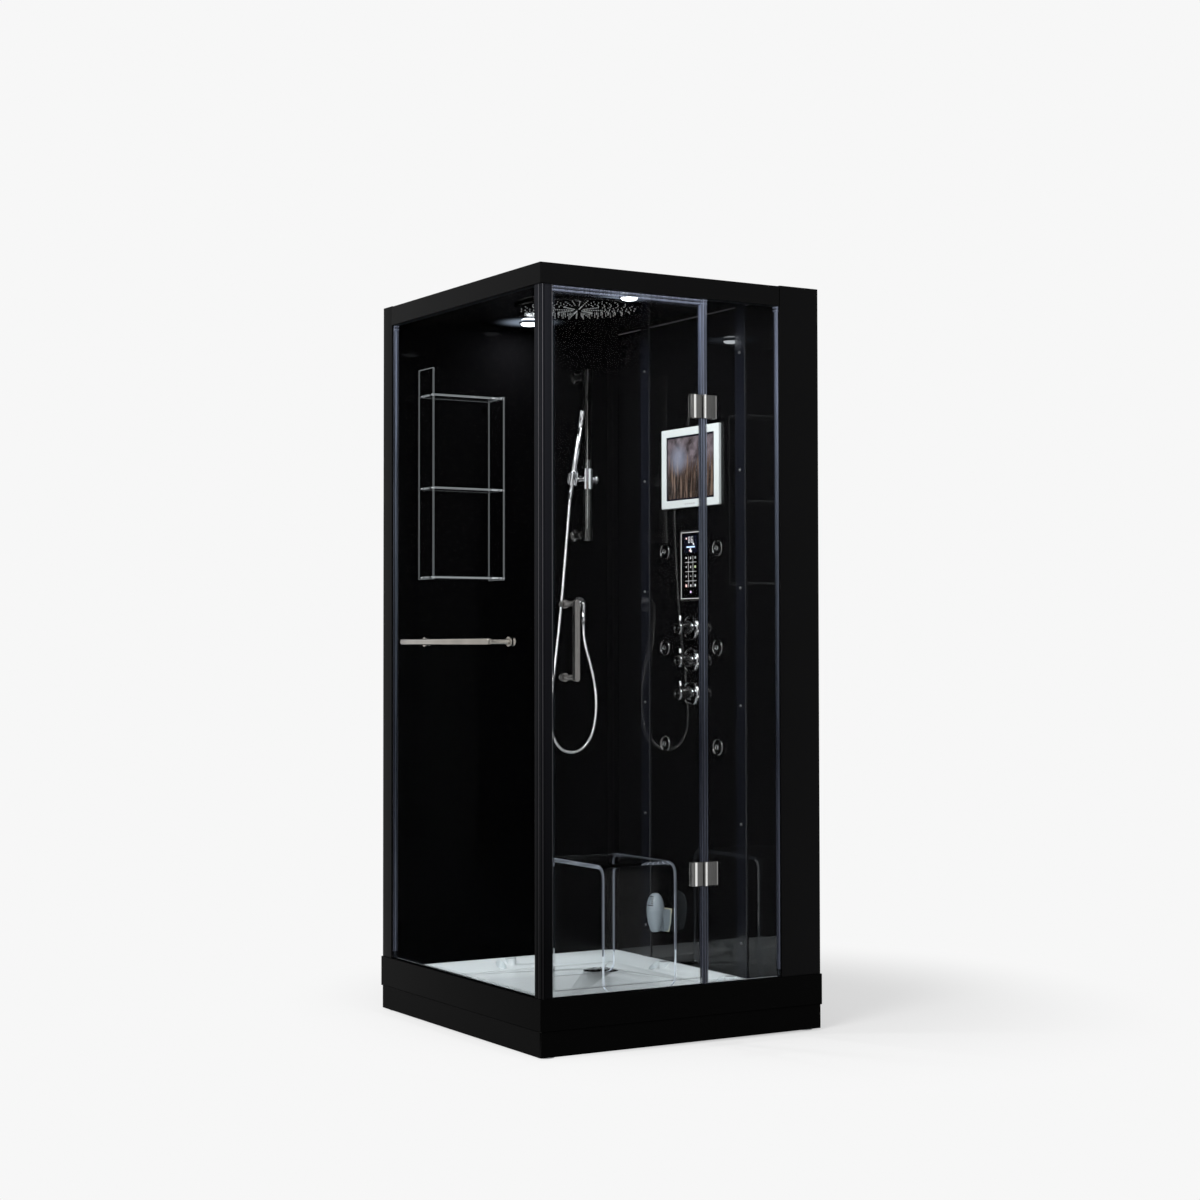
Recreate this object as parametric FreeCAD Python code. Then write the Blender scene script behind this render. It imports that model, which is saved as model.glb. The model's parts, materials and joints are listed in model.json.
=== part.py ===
import FreeCAD, Part
import math
import os

# Square steam shower cabin, in millimetres.  +Z is up, the floor is z = 0 and
# the origin is the middle of the base on the floor.  The glazed corner is at
# -X -Y: the door is on the -Y side and the fixed pane on the -X side.  The
# plain black wall is at +Y and the service wall with the fittings at +X.

# overall
cabin_width = 1000.0
cabin_depth = 1000.0
wall_top = 2263.0
base_top = 170.0

# base
skirt_top = 77.0
skirt_bottom = 5.0
skirt_setback = 4.0
skirt_thickness = 8.0
band_thickness = 10.0
band_flange_width = 26.0
band_flange_thickness = 4.0
frame_tube = 30.0
frame_inset = 20.0
cross_member_places = (-228.0, 0.0, 275.0)
foot_inset = 40.0
foot_pad_radius = 25.0
foot_pad_height = 8.0
foot_stem_radius = 6.0
foot_nut_flats = 19.0
foot_nut_height = 10.0

# tray
tray_wall = 6.0
tray_underside = 100.0
tray_floor = 110.0
tray_ledge_height = 142.0
tray_ledge_width = 10.0
tray_front_slope_run = 10.0
tray_back_slope_run = 41.0
tray_corner_radius = 22.0
tray_skirt_bottom = 86.0
floor_fall = 1.5
drain_fall = 4.5
drain_x = 186.0
drain_y = 263.0
flute_radius = 18.0
flute_spacing = 42.0
flute_back_place = -86.0
flute_side_places = (130.0, -234.0)
scallop_step = 1.5

# drain
drain_cover_radius = 59.0
drain_recess_radius = 61.0
drain_recess_depth = 4.5
drain_bore_radius = 38.0
drain_tube_radius = 42.5
drain_flange_radius = 57.0
drain_flange_thickness = 2.0
trap_radius = 54.0
trap_bottom = 14.0
trap_height = 50.0
waste_radius = 20.0
waste_bore_radius = 17.5
waste_height = 40.0
waste_socket = 45.0

# walls
wall_setback = 4.0
left_wall_depth = 65.0
service_wall_depth = 150.0
wall_panel_thickness = 6.0
wall_end_width = 26.0
rear_sheet_thickness = 2.0
stud_width = 40.0
rail_height = 40.0
service_centre_y = -32.0
trim_offset = 266.0
trim_width = 52.0
trim_thickness = 5.0
panel_joint = 6.0
corner_trim_left = 26.0
corner_trim_right = 36.0

# post and glass
post_width = 38.0
post_groove = 1.4
glass_thickness = 6.0
glass_setback = 14.0
glass_slot_depth = 11.0
side_glass_foot = 4.0
seal_thickness = 14.0
wall_seal_width = 12.0
bottom_seal_height = 10.0

# roof
roof_band_top = 2260.0
roof_band_height = 60.0
roof_band_thickness = 30.0
roof_joint = 4.0
ceiling_rise = 27.0
ceiling_thickness = 4.0
roof_cover_drop = 8.0
roof_cover_thickness = 3.0
rain_head_radius = 200.0
rain_head_thickness = 8.0
rain_head_drop = 3.0
rain_head_x = -90.0
rain_head_y = -45.0
rain_collar_radius = 62.0
rain_inlet_radius = 10.0
spot_radius = 32.0
spot_body_radius = 26.0
spot_drop = 5.0
spot_x = -56.0
spot_places = (-284.0, 312.0)

# door
door_edge = 42.0
hinge_line_x = 72.0
hinge_line_y = -493.0
hinge_heights = (1879.0, 494.0)
hinge_height = 70.0
hinge_leaf_width = 46.0
hinge_plate_thickness = 6.0
hinge_clamp_thickness = 5.0
knuckle_radius = 6.0
hinge_pin_radius = 3.0
hinge_bolt_radius = 4.0
hinge_bolt_spacing = 40.0
door_bottom_gap = 2.0
door_top_gap = 2.0
door_glass_border = 10.0
door_seal_width = 14.6
door_top_seal = 22.0
door_bottom_seal = 20.0
door_seal_corner = 12.0

# door handle
handle_x = -411.0
handle_bottom = 1066.0
handle_length = 232.0
handle_width = 16.4
handle_thickness = 15.0
handle_reach = 69.0
handle_post_inset = 11.5
handle_post_radius = 8.0
handle_washer_radius = 12.5
handle_washer_thickness = 3.0
handle_knob_radius = 10.5
handle_knob_length = 12.0
handle_bolt_radius = 5.0

# towel rail outside the fixed pane
towel_height = 1180.0
towel_reach = 74.0
towel_bar_radius = 9.5
towel_bar_start = -312.0
towel_bar_length = 547.0
towel_post_inset = 12.0
towel_post_radius = 8.0
towel_flange_radius = 14.5
towel_flange_thickness = 4.0
towel_knob_length = 10.0

# television
tv_width = 320.0
tv_height = 258.0
tv_centre = 1744.0
tv_bezel_thickness = 10.0
tv_screen_width = 266.0
tv_screen_height = 208.0
tv_screen_recess = 2.5
tv_box_depth = 45.0
tv_box_margin = 16.0
tv_corner_radius = 5.0

# control panel
control_width = 120.0
control_height = 228.0
control_centre = 1427.0
control_thickness = 7.0
control_border = 5.0
control_recess = 1.0
control_box_depth = 28.0
control_box_margin = 12.0
control_corner_radius = 6.0

# valves
valve_heights = (1226.5, 1121.5, 1016.5)
valve_plate_radius = 39.0
valve_plate_thickness = 8.0
valve_nose_radius = 14.0
valve_nose_length = 3.0
valve_spindle_radius = 5.0
valve_spindle_length = 26.0
valve_knob_radius = 24.0
valve_knob_reach = 61.0
valve_pin_radius = 5.5
valve_pin_height = 40.0
valve_pin_inset = 14.0
valve_hole_radius = 17.0

# body jets
jet_offset = 146.0
jet_heights = (1476.5, 1162.5, 849.0)
jet_flange_radius = 25.0
jet_flange_thickness = 7.0
jet_ball_radius = 14.7
jet_ball_depth = 2.0
jet_body_radius = 20.0
jet_body_depth = 22.0
jet_bore_radius = 3.2

# steam outlet
steam_y = 118.0
steam_reach = 46.0
steam_seam = 312.0
steam_top = 366.0
steam_bottom = 240.0
steam_radius = 28.5
steam_foot_radius = 15.0
steam_flange_half = 26.0
steam_gasket = 2.5
steam_slots = 7
steam_slot_pitch = 5.4
steam_slot_height = 2.2
steam_slot_half_width = 9.0
steam_spigot_radius = 10.0
steam_spigot_length = 8.0

# shower rail
rail_x = 197.0
rail_stand_off = 77.0
rail_width = 25.0
rail_depth = 20.0
rail_bottom = 1519.0
rail_head_room = 134.0
bracket_height = 41.0
bracket_width = 31.0
bracket_depth = 26.0
bracket_neck_radius = 12.0
bracket_flange_radius = 20.0
bracket_flange_thickness = 6.0
slider_bottom = 1692.0
slider_height = 68.0
slider_width = 35.0
slider_depth = 30.0
slider_boss_radius = 11.0
slider_boss_length = 12.0
slider_pivot = 1726.0
lock_radius = 18.0
lock_length = 20.0
lock_stud_radius = 4.0
lock_stud_length = 14.0

# holder and hand shower
wand_x = 140.0
wand_tilt = 15.8
holder_radius = 16.5
holder_length = 46.0
holder_pin_radius = 5.0
holder_slot = 14.0
wand_radius = 10.5
wand_above_pivot = 232.0
wand_below_pivot = 22.0
wand_collar = 60.0
holder_ribs = 9

# hose and wall outlet
hose_radius = 6.5
outlet_x = 210.0
outlet_height = 1310.0
outlet_plate_radius = 25.0
outlet_plate_thickness = 6.0
outlet_reach = 32.0
outlet_pipe_radius = 10.0
outlet_nut_radius = 10.5
outlet_nut_length = 26.0
outlet_bottom = 1246.0
# The hose hangs from the wand to the wall outlet: each point is x, the
# distance from the plain wall, and the height.
hose_points = (
    (137.9, 54.0, 1600.0),
    (132.6, 50.4, 1528.0),
    (127.0, 47.9, 1450.0),
    (120.4, 46.1, 1370.0),
    (112.6, 45.0, 1290.0),
    (103.4, 44.1, 1208.0),
    (93.0, 43.3, 1126.0),
    (83.0, 42.8, 1046.0),
    (75.6, 42.5, 968.0),
    (75.0, 42.3, 908.0),
    (84.0, 42.0, 863.0),
    (108.0, 41.8, 829.0),
    (143.0, 41.6, 812.0),
    (184.0, 41.3, 815.0),
    (218.0, 40.8, 838.0),
    (241.5, 40.1, 877.0),
    (254.0, 39.4, 930.0),
    (257.0, 38.4, 988.0),
    (250.0, 37.4, 1045.0),
    (237.0, 36.3, 1098.0),
    (222.5, 34.6, 1146.0),
    (213.0, 32.8, 1184.0),
)
hose_first_run = 26.0
hose_last_run = 30.0

# corner shelf unit on the plain wall
shelf_left_x = -400.0
shelf_width = 266.0
shelf_depth = 100.0
shelf_sheet = 6.0
shelf_bottom = 1382.0
shelf_head_room = 167.0
shelf_shares = (0.0044, 0.4277, 0.8687)
shelf_side_lip = 3.0
shelf_plate_inset = 5.0

# stool
stool_x = -78.0
stool_y = -170.0
stool_width = 268.0
stool_depth = 365.0
stool_top = 496.0
stool_sheet = 12.0
stool_bend_radius = 38.0
stool_corner_radius = 30.0

# service equipment
generator_width = 118.0
generator_length = 290.0
generator_height = 180.0
generator_y = -235.0
generator_corner = 8.0
pipe_radius = 10.5
header_radius = 12.0
valve_body_radius = 16.0
header_setback = 66.0
inlet_spacing = 150.0
inlet_thread = 24.0
inlet_window_margin = 34.0

# clearances
fit_gap = 0.2
running_gap = 0.3
shaft_gap = 0.05
hole_gap = 0.3

# derived planes
left_x = -cabin_width / 2
right_x = cabin_width / 2
front_y = -cabin_depth / 2
rear_y = cabin_depth / 2
wall_x = right_x - service_wall_depth
wall_y = rear_y - left_wall_depth
wall_rear_x = right_x - wall_setback
wall_rear_y = rear_y - wall_setback
wall_back_x = wall_x + wall_panel_thickness
wall_back_y = wall_y + wall_panel_thickness
post_x = left_x + wall_setback
post_y = front_y + wall_setback
side_glass_x = left_x + glass_setback
front_glass_y = front_y + glass_setback
side_glass_back = side_glass_x + glass_thickness
front_glass_back = front_glass_y + glass_thickness
panel_foot = tray_ledge_height + running_gap
roof_band_bottom = roof_band_top - roof_band_height
ceiling_height = roof_band_bottom + ceiling_rise
panel_head = ceiling_height + 13.0
rail_top = ceiling_height - rail_head_room
shelf_left_top = ceiling_height - shelf_head_room
shelf_levels = [shelf_bottom + share * (shelf_left_top - shelf_bottom) for share in shelf_shares]
shelf_right_top = shelf_levels[-1] + shelf_sheet + shelf_side_lip
tray_inner_left = left_x + 30.0
tray_inner_front = front_y + 30.0
hinge_bolt_inset = 24.0
slots_first = steam_seam + 10.0

X = FreeCAD.Vector(1, 0, 0)
Y = FreeCAD.Vector(0, 1, 0)
Z = FreeCAD.Vector(0, 0, 1)


def point(x, y, z):
    return FreeCAD.Vector(x, y, z)


def box(x0, x1, y0, y1, z0, z1):
    return Part.makeBox(x1 - x0, y1 - y0, z1 - z0, point(x0, y0, z0))


def rod(x, y, z, axis, radius, length):
    return Part.makeCylinder(radius, length, point(x, y, z), axis)


def polygon_prism(points, travel):
    face = Part.Face(Part.makePolygon(list(points) + [points[0]]))
    return face.extrude(travel)


def turned(outline, centre, axis):
    """Revolve an outline of (radius, distance along the axis)."""
    side = Z if abs(axis.z) < 0.5 else X
    spots = [centre + side * r + axis * d for r, d in outline]
    face = Part.Face(Part.makePolygon(spots + [spots[0]]))
    return face.revolve(centre, axis, 360)


def rounded(shape, radius, keep):
    """Round the edges that the test keep picks out."""
    edges = [edge for edge in shape.Edges if keep(edge)]
    return shape.makeFillet(radius, edges)


def runs_along(axis):
    def test(edge):
        if not isinstance(edge.Curve, Part.Line):
            return False
        return abs(edge.Curve.Direction.dot(axis)) > 0.999
    return test


def rounded_plan(x0, x1, y0, y1, z, radius):
    """Corner points of a rectangle whose corners are short chords."""
    steps = 6
    corners = ((x1 - radius, y1 - radius, 0.0), (x0 + radius, y1 - radius, 90.0),
               (x0 + radius, y0 + radius, 180.0), (x1 - radius, y0 + radius, 270.0))
    spots = []
    for x, y, start in corners:
        for i in range(steps + 1):
            turn = math.radians(start + 90.0 * i / steps)
            spots.append(point(x + radius * math.cos(turn), y + radius * math.sin(turn), z))
    return spots


def sloped_block(low, high):
    """A block between two plans of equal corner count, with flat sides."""
    faces = [Part.Face(Part.makePolygon(plan + [plan[0]])) for plan in (low, high)]
    count = len(low)
    for i in range(count):
        j = (i + 1) % count
        side = [low[i], low[j], high[j], high[i], low[i]]
        faces.append(Part.Face(Part.makePolygon(side)))
    return Part.makeSolid(Part.makeShell(faces))


# base ---------------------------------------------------------------------

def foot_places():
    reach_x = cabin_width / 2 - foot_inset
    reach_y = cabin_depth / 2 - foot_inset
    places = [(x, y) for x in (-reach_x, reach_x) for y in (-reach_y, reach_y)]
    return places + [(0.0, 0.0)]


def make_base_frame():
    x1 = cabin_width / 2 - frame_inset
    y1 = cabin_depth / 2 - frame_inset
    low = tray_underside - frame_tube
    deck = base_top - tray_wall - fit_gap
    ring = box(-x1, x1, -y1, y1, low, tray_underside)
    inside = box(-x1 + frame_tube, x1 - frame_tube, -y1 + frame_tube, y1 - frame_tube,
                 low, tray_underside)
    frame = ring.cut(inside)
    for x in cross_member_places:
        member = box(x - frame_tube / 2, x + frame_tube / 2, -y1 + frame_tube,
                     y1 - frame_tube, low, tray_underside)
        frame = frame.fuse(member)
    frame = frame.fuse(box(x1 - frame_tube, x1, -y1, y1, tray_underside, deck))
    frame = frame.fuse(box(-x1, x1 - frame_tube, y1 - frame_tube, y1, tray_underside, deck))
    for x, y in foot_places():
        hole = rod(x, y, low, Z, foot_stem_radius + shaft_gap, frame_tube - 4.0)
        frame = frame.cut(hole)
    return frame.removeSplitter()


def make_levelling_feet():
    low = tray_underside - frame_tube
    feet = []
    for x, y in foot_places():
        pad = turned([(0.0, 0.0), (foot_pad_radius, 0.0), (foot_pad_radius, 4.0),
                      (foot_stem_radius + 4.0, foot_pad_height), (0.0, foot_pad_height)],
                     point(x, y, 0.0), Z)
        stem = rod(x, y, foot_pad_height, Z, foot_stem_radius, low + 20.0 - foot_pad_height)
        corner = foot_nut_flats / math.sqrt(3.0)
        spots = [point(x + corner * math.cos(math.radians(60 * i)),
                       y + corner * math.sin(math.radians(60 * i)),
                       low - foot_nut_height) for i in range(6)]
        nut = polygon_prism(spots, Z * foot_nut_height)
        feet.append(pad.fuse(stem).fuse(nut).removeSplitter())
    return Part.makeCompound(feet)


def make_base_band():
    band = box(left_x, right_x, front_y, rear_y, skirt_top, base_top)
    band = rounded(band, 3.0, runs_along(Z))
    t = band_thickness
    band = band.cut(box(left_x + t, right_x - t, front_y + t, rear_y - t, skirt_top - 1.0,
                        base_top - band_flange_thickness))
    w = band_flange_width
    band = band.cut(box(left_x + w, right_x - w, front_y + w, rear_y - w, skirt_top,
                        base_top + 1.0))
    return band


def make_skirts():
    s = skirt_setback
    t = skirt_thickness
    front = box(left_x + s, right_x - s, front_y + s, front_y + s + t, skirt_bottom, skirt_top)
    side = box(left_x + s, left_x + s + t, front_y + s + t, rear_y - s, skirt_bottom, skirt_top)
    return Part.makeCompound([front, side])


def basin_plan(at_floor, grow, height):
    """Rounded plan of the basin at the floor or at the ledge."""
    inner_left = tray_inner_left + tray_ledge_width
    inner_front = tray_inner_front + tray_ledge_width
    inner_right = wall_x - 4.0
    inner_back = wall_y - 4.0
    if at_floor:
        inner_left += tray_front_slope_run
        inner_front += tray_front_slope_run
        inner_right -= tray_back_slope_run
        inner_back -= tray_back_slope_run
    return rounded_plan(inner_left - grow, inner_right + grow, inner_front - grow,
                        inner_back + grow, height, tray_corner_radius + grow)


def basin_space(grow, floor, head):
    """The hollow of the tray, grown outwards by a wall thickness."""
    low = basin_plan(True, grow, floor)
    high = basin_plan(False, grow, tray_ledge_height)
    slope = sloped_block(low, high)
    upper = box(tray_inner_left - grow, wall_back_x + running_gap + grow,
                tray_inner_front - grow, wall_back_y + running_gap + grow,
                tray_ledge_height - grow, head)
    return slope.fuse(upper)


def sunk_facets(outline, low_point, lid):
    """A shallow polyhedral sinking: outline corners down to one low point."""
    faces = []
    count = len(outline)
    raised = [point(p.x, p.y, lid) for p in outline]
    for i in range(count):
        a = outline[i]
        b = outline[(i + 1) % count]
        faces.append(Part.Face(Part.makePolygon([a, b, low_point, a])))
        upright = [a, b, raised[(i + 1) % count], raised[i], a]
        faces.append(Part.Face(Part.makePolygon(upright)))
    faces.append(Part.Face(Part.makePolygon(raised + [raised[0]])))
    return Part.makeSolid(Part.makeShell(faces))


def floor_falls():
    """The two falls of the standing floor: a gentle one and the drain's."""
    x0 = tray_inner_left + tray_ledge_width + tray_front_slope_run
    y0 = tray_inner_front + tray_ledge_width + tray_front_slope_run
    x1 = wall_x - 4.0 - tray_back_slope_run
    y1 = wall_y - 4.0 - tray_back_slope_run
    top = tray_floor
    low = tray_floor - floor_fall
    meeting = point(-63.0, 140.0, top)
    left_end = point(x0, y1 - 17.0, top)
    right_end = point(x1, -132.0, low)
    front_end = point(meeting.x, y0, top)
    front_corner = point(x1, y0, low)
    lid = top + 1.0
    middle = (front_end + right_end) * 0.5
    gentle = sunk_facets([front_end, front_corner, right_end, meeting], middle, lid)
    sump = point(drain_x, drain_y, tray_floor - drain_fall)
    back_corner = point(x1, y1, low)
    back_end = point(x0, y1, top)
    drained = sunk_facets([meeting, right_end, back_corner, back_end, left_end], sump, lid)
    return gentle, drained


def make_tray():
    out_x = cabin_width / 2 - band_thickness - fit_gap
    out_y = cabin_depth / 2 - band_thickness - fit_gap
    flange = band_flange_width + fit_gap
    tray = box(-out_x, out_x, -out_y, out_y, tray_skirt_bottom, base_top)
    lip = box(left_x + flange, right_x - flange, front_y + flange, rear_y - flange,
              base_top - band_flange_thickness - fit_gap, base_top)
    head = box(left_x, right_x, front_y, rear_y,
               base_top - band_flange_thickness - fit_gap, base_top)
    tray = tray.cut(head.cut(lip))
    t = tray_wall
    under = box(-out_x + t, out_x - t, -out_y + t, out_y - t, tray_skirt_bottom - 1.0,
                base_top - t)
    shell = basin_space(t, tray_underside, base_top)
    boss = rod(drain_x, drain_y, tray_underside - 4.0, Z, drain_recess_radius + 5.0, 8.0)
    tray = tray.cut(under.cut(shell.fuse(boss)))
    tray = tray.cut(basin_space(0.0, tray_floor, base_top + 1.0))
    for fall in floor_falls():
        tray = tray.cut(fall)
    for flute in tray_flutes():
        tray = tray.fuse(flute)
    for scallop in tray_scallops():
        tray = tray.cut(scallop)
    recess_floor = tray_floor - drain_fall - drain_recess_depth
    tray = tray.cut(rod(drain_x, drain_y, recess_floor, Z, drain_recess_radius, 20.0))
    tray = tray.cut(rod(drain_x, drain_y, tray_underside - 10.0, Z,
                        drain_tube_radius + hole_gap, 20.0))
    return tray


def flute_places():
    """Middle of each moulded pair on the two back slopes."""
    back = (flute_back_place, wall_y - 4.0 - 13.0)
    side = [(wall_x - 4.0 - 13.0, y) for y in flute_side_places]
    return back, side


def tray_flutes():
    back, side = flute_places()
    height = tray_ledge_height - tray_floor + 4.0
    spots = [(back[0] + flute_spacing / 2, back[1])]
    spots += [(x, y - flute_spacing / 2) for x, y in side]
    return [rod(x, y, tray_floor - 4.0, Z, flute_radius, height) for x, y in spots]


def tray_scallops():
    back, side = flute_places()
    spots = [(back[0] - flute_spacing / 2, back[1] - 10.0)]
    spots += [(x - 10.0, y + flute_spacing / 2) for x, y in side]
    return [rod(x, y, tray_floor + scallop_step, Z, flute_radius, 40.0) for x, y in spots]


def make_drain_trap():
    recess_floor = tray_floor - drain_fall - drain_recess_depth
    under = tray_underside - 4.0
    t = drain_flange_thickness
    outline = [
        (drain_bore_radius, recess_floor + t),
        (drain_flange_radius, recess_floor + t),
        (drain_flange_radius, recess_floor),
        (drain_tube_radius, recess_floor),
        (drain_tube_radius, under),
        (trap_radius, under),
        (trap_radius, under - 10.0),
        (drain_tube_radius, under - 10.0),
        (drain_tube_radius, trap_bottom + trap_height),
        (trap_radius, trap_bottom + trap_height - 8.0),
        (trap_radius, trap_bottom),
        (0.0, trap_bottom),
        (0.0, trap_bottom + 4.0),
        (trap_radius - 4.0, trap_bottom + 4.0),
        (trap_radius - 4.0, trap_bottom + trap_height - 14.0),
        (drain_bore_radius, trap_bottom + trap_height - 4.0),
    ]
    body = turned(outline, point(drain_x, drain_y, 0.0), Z)
    start = drain_y + trap_radius - 8.0
    end = rear_y - 12.0
    spout = rod(drain_x, start, waste_height, Y, waste_radius - 1.5, end - start - 1.0)
    spout = spout.fuse(rod(drain_x, end - waste_socket, waste_height, Y, waste_radius,
                           waste_socket))
    bore = rod(drain_x, start - 6.0, waste_height, Y, waste_bore_radius, rear_y - start)
    return body.fuse(spout).cut(bore).removeSplitter()


def make_drain_cover():
    seat = tray_floor - drain_fall - drain_recess_depth + drain_flange_thickness + running_gap
    r = drain_cover_radius
    outline = [(0.0, seat + 1.6), (r - 9.0, seat + 1.6), (r - 9.0, seat), (r - 5.0, seat),
               (r - 5.0, seat + 1.6), (r, seat + 1.6), (r, seat + 2.8), (r - 2.0, seat + 3.6),
               (r - 22.0, seat + 4.6), (0.0, seat + 5.2)]
    return turned(outline, point(drain_x, drain_y, 0.0), Z)


# walls --------------------------------------------------------------------

def make_corner_post():
    w = post_width
    head = roof_band_bottom - base_top
    post = box(post_x, post_x + w, post_y, post_y + w, base_top, roof_band_bottom)
    post = rounded(post, 3.0, runs_along(Z))
    glass_width = glass_thickness + 2 * hole_gap
    slot_x = side_glass_x - hole_gap
    slot = box(slot_x, slot_x + glass_width, post_y + w - glass_slot_depth - 1.0,
               post_y + w + 1.0, base_top, roof_band_bottom)
    magnet_y = front_glass_y - 2.0
    magnet = box(post_x + w - 4.0, post_x + w + 1.0, magnet_y, magnet_y + 10.0,
                 base_top, roof_band_bottom)
    post = post.cut(slot).cut(magnet)
    g = post_groove
    for place in (6.0, 11.0):
        groove = box(post_x - 1.0, post_x + g, post_y + place, post_y + place + g,
                     base_top, base_top + head)
        mirror = box(post_x + place, post_x + place + g, post_y - 1.0, post_y + g,
                     base_top, base_top + head)
        post = post.cut(groove).cut(mirror)
    hollow = box(post_x + 17.0, post_x + w - 7.0, post_y + 5.0, post_y + w - 16.0,
                 base_top - 1.0, roof_band_bottom + 1.0)
    return post.cut(hollow)


def make_left_wall_end():
    x0 = post_x
    x1 = x0 + wall_end_width
    bar = box(x0, x1, wall_y, wall_rear_y, base_top, wall_top)
    bar = rounded(bar, 2.0, lambda e: runs_along(Z)(e) and e.CenterOfMass.x < x0 + 1.0)
    hollow = box(x0 + 3.0, x1 - 3.0, wall_y + 3.0, wall_rear_y - 3.0, base_top - 1.0,
                 wall_top - 3.0)
    return bar.cut(hollow)


def make_service_front():
    y0 = post_y
    y1 = y0 + wall_end_width
    bar = box(wall_x, wall_rear_x, y0, y1, base_top, wall_top)
    bar = rounded(bar, 2.0, lambda e: runs_along(Z)(e) and e.CenterOfMass.y < y0 + 1.0)
    middle = (wall_x + wall_rear_x) / 2
    for x0, x1 in ((wall_x + 3.0, middle - 1.5), (middle + 1.5, wall_rear_x - 3.0)):
        bar = bar.cut(box(x0, x1, y0 + 3.0, y1 - 3.0, base_top - 1.0, wall_top - 3.0))
    return bar


def make_back_corner_trim():
    a = corner_trim_left
    b = corner_trim_right
    outline = [(0.0, 0.0), (-a, 0.0), (-a, -3.0), (-a + 2.0, -4.5), (-9.0, -7.0),
               (-5.5, -12.0), (-4.5, -b + 2.0), (-3.0, -b), (0.0, -b)]
    corner_x = wall_x - fit_gap
    corner_y = wall_y - fit_gap
    spots = [point(corner_x + x, corner_y + y, panel_foot) for x, y in outline]
    return polygon_prism(spots, Z * (ceiling_height - fit_gap - panel_foot))


def make_left_wall_panel():
    x0 = post_x + wall_end_width + fit_gap
    return box(x0, wall_back_x, wall_y, wall_back_y, panel_foot, panel_head)


def make_left_wall_frame():
    x0 = post_x + wall_end_width + fit_gap
    x1 = wall_rear_x - rear_sheet_thickness
    y0 = wall_back_y + fit_gap
    y1 = wall_rear_y - rear_sheet_thickness
    frame = box(x0, x1, y0, y1, base_top, base_top + rail_height)
    frame = frame.fuse(box(x0, x1, y0, y1, wall_top - rail_height, wall_top - 2.0))
    bays = 3
    pitch = (x1 - x0 - stud_width) / bays
    for i in range(bays + 1):
        x = x0 + i * pitch
        frame = frame.fuse(box(x, x + stud_width, y0, y1, base_top, wall_top - 2.0))
    return frame.removeSplitter()


def trim_places():
    return (service_centre_y - trim_offset, service_centre_y + trim_offset)


def make_service_frame():
    x0 = wall_back_x + fit_gap
    x1 = wall_rear_x - rear_sheet_thickness
    y0 = post_y + wall_end_width + fit_gap
    y1 = wall_back_y
    head = wall_top - 2.0
    frame = box(x0, x1, y0, y1, base_top, base_top + rail_height)
    frame = frame.fuse(box(x0, x1, y0, y1, head - rail_height, head))
    studs = [y0, y1 - stud_width] + [y - stud_width / 2 for y in trim_places()]
    for y in studs:
        frame = frame.fuse(box(x0, x0 + stud_width, y, y + stud_width, base_top, head))
        frame = frame.fuse(box(x1 - stud_width, x1, y, y + stud_width, base_top, head))
    return frame.removeSplitter()


def inlet_places():
    half = inlet_spacing / 2
    return (service_centre_y - half, service_centre_y + half)


def make_rear_sheets():
    t = rear_sheet_thickness
    x0 = post_x + wall_end_width + fit_gap
    y0 = post_y + wall_end_width + fit_gap
    back = box(x0, wall_rear_x, wall_rear_y - t, wall_rear_y, base_top, wall_top)
    side = box(wall_rear_x - t, wall_rear_x, y0, wall_rear_y - t, base_top, wall_top)
    first, last = inlet_places()
    m = inlet_window_margin
    window = box(wall_rear_x - t - 1.0, wall_rear_x + 1.0, first - m, last + m,
                 valve_heights[1] - m, valve_heights[1] + m)
    return Part.makeCompound([back, side.cut(window)])


def make_service_panels():
    y0 = post_y + wall_end_width + fit_gap
    first, last = trim_places()
    gap = panel_joint / 2
    spans = ((y0, first - gap), (first + gap, last - gap), (last + gap, wall_y - fit_gap))
    front, centre, back = [box(wall_x, wall_back_x, a, b, panel_foot, panel_head)
                           for a, b in spans]
    for tool in service_cut_outs():
        centre = centre.cut(tool)
        back = back.cut(tool)
        front = front.cut(tool)
    return Part.makeCompound([front, centre, back])


def service_cut_outs():
    """Holes in the service wall panels for what passes through them."""
    tools = []
    deep = wall_panel_thickness + 2.0
    start = wall_x - 1.0
    for z in valve_heights:
        tools.append(rod(start, service_centre_y, z, X, valve_hole_radius, deep))
    for y, z in jet_places():
        tools.append(rod(start, y, z, X, jet_body_radius + hole_gap, deep))
    half = tv_width / 2 - tv_box_margin + hole_gap
    rise = tv_height / 2 - tv_box_margin + hole_gap
    tools.append(box(start, start + deep, service_centre_y - half, service_centre_y + half,
                     tv_centre - rise, tv_centre + rise))
    half = control_width / 2 - control_box_margin + hole_gap
    rise = control_height / 2 - control_box_margin + hole_gap
    tools.append(box(start, start + deep, service_centre_y - half, service_centre_y + half,
                     control_centre - rise, control_centre + rise))
    tools.append(rod(start, steam_y, steam_seam - 30.0, X, steam_pipe_radius() + hole_gap, deep))
    return tools


def steam_pipe_radius():
    return steam_foot_radius - 4.0


def make_service_trims():
    trims = []
    for y in trim_places():
        outline = [(0.0, -trim_width / 2), (-trim_thickness + 1.5, -trim_width / 2),
                   (-trim_thickness, -trim_width / 2 + 1.5), (-trim_thickness, trim_width / 2 - 1.5),
                   (-trim_thickness + 1.5, trim_width / 2), (0.0, trim_width / 2)]
        spots = [point(wall_x + a, y + b, panel_foot) for a, b in outline]
        trims.append(polygon_prism(spots, Z * (ceiling_height - fit_gap - panel_foot)))
    return Part.makeCompound(trims)


# roof ---------------------------------------------------------------------

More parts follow.
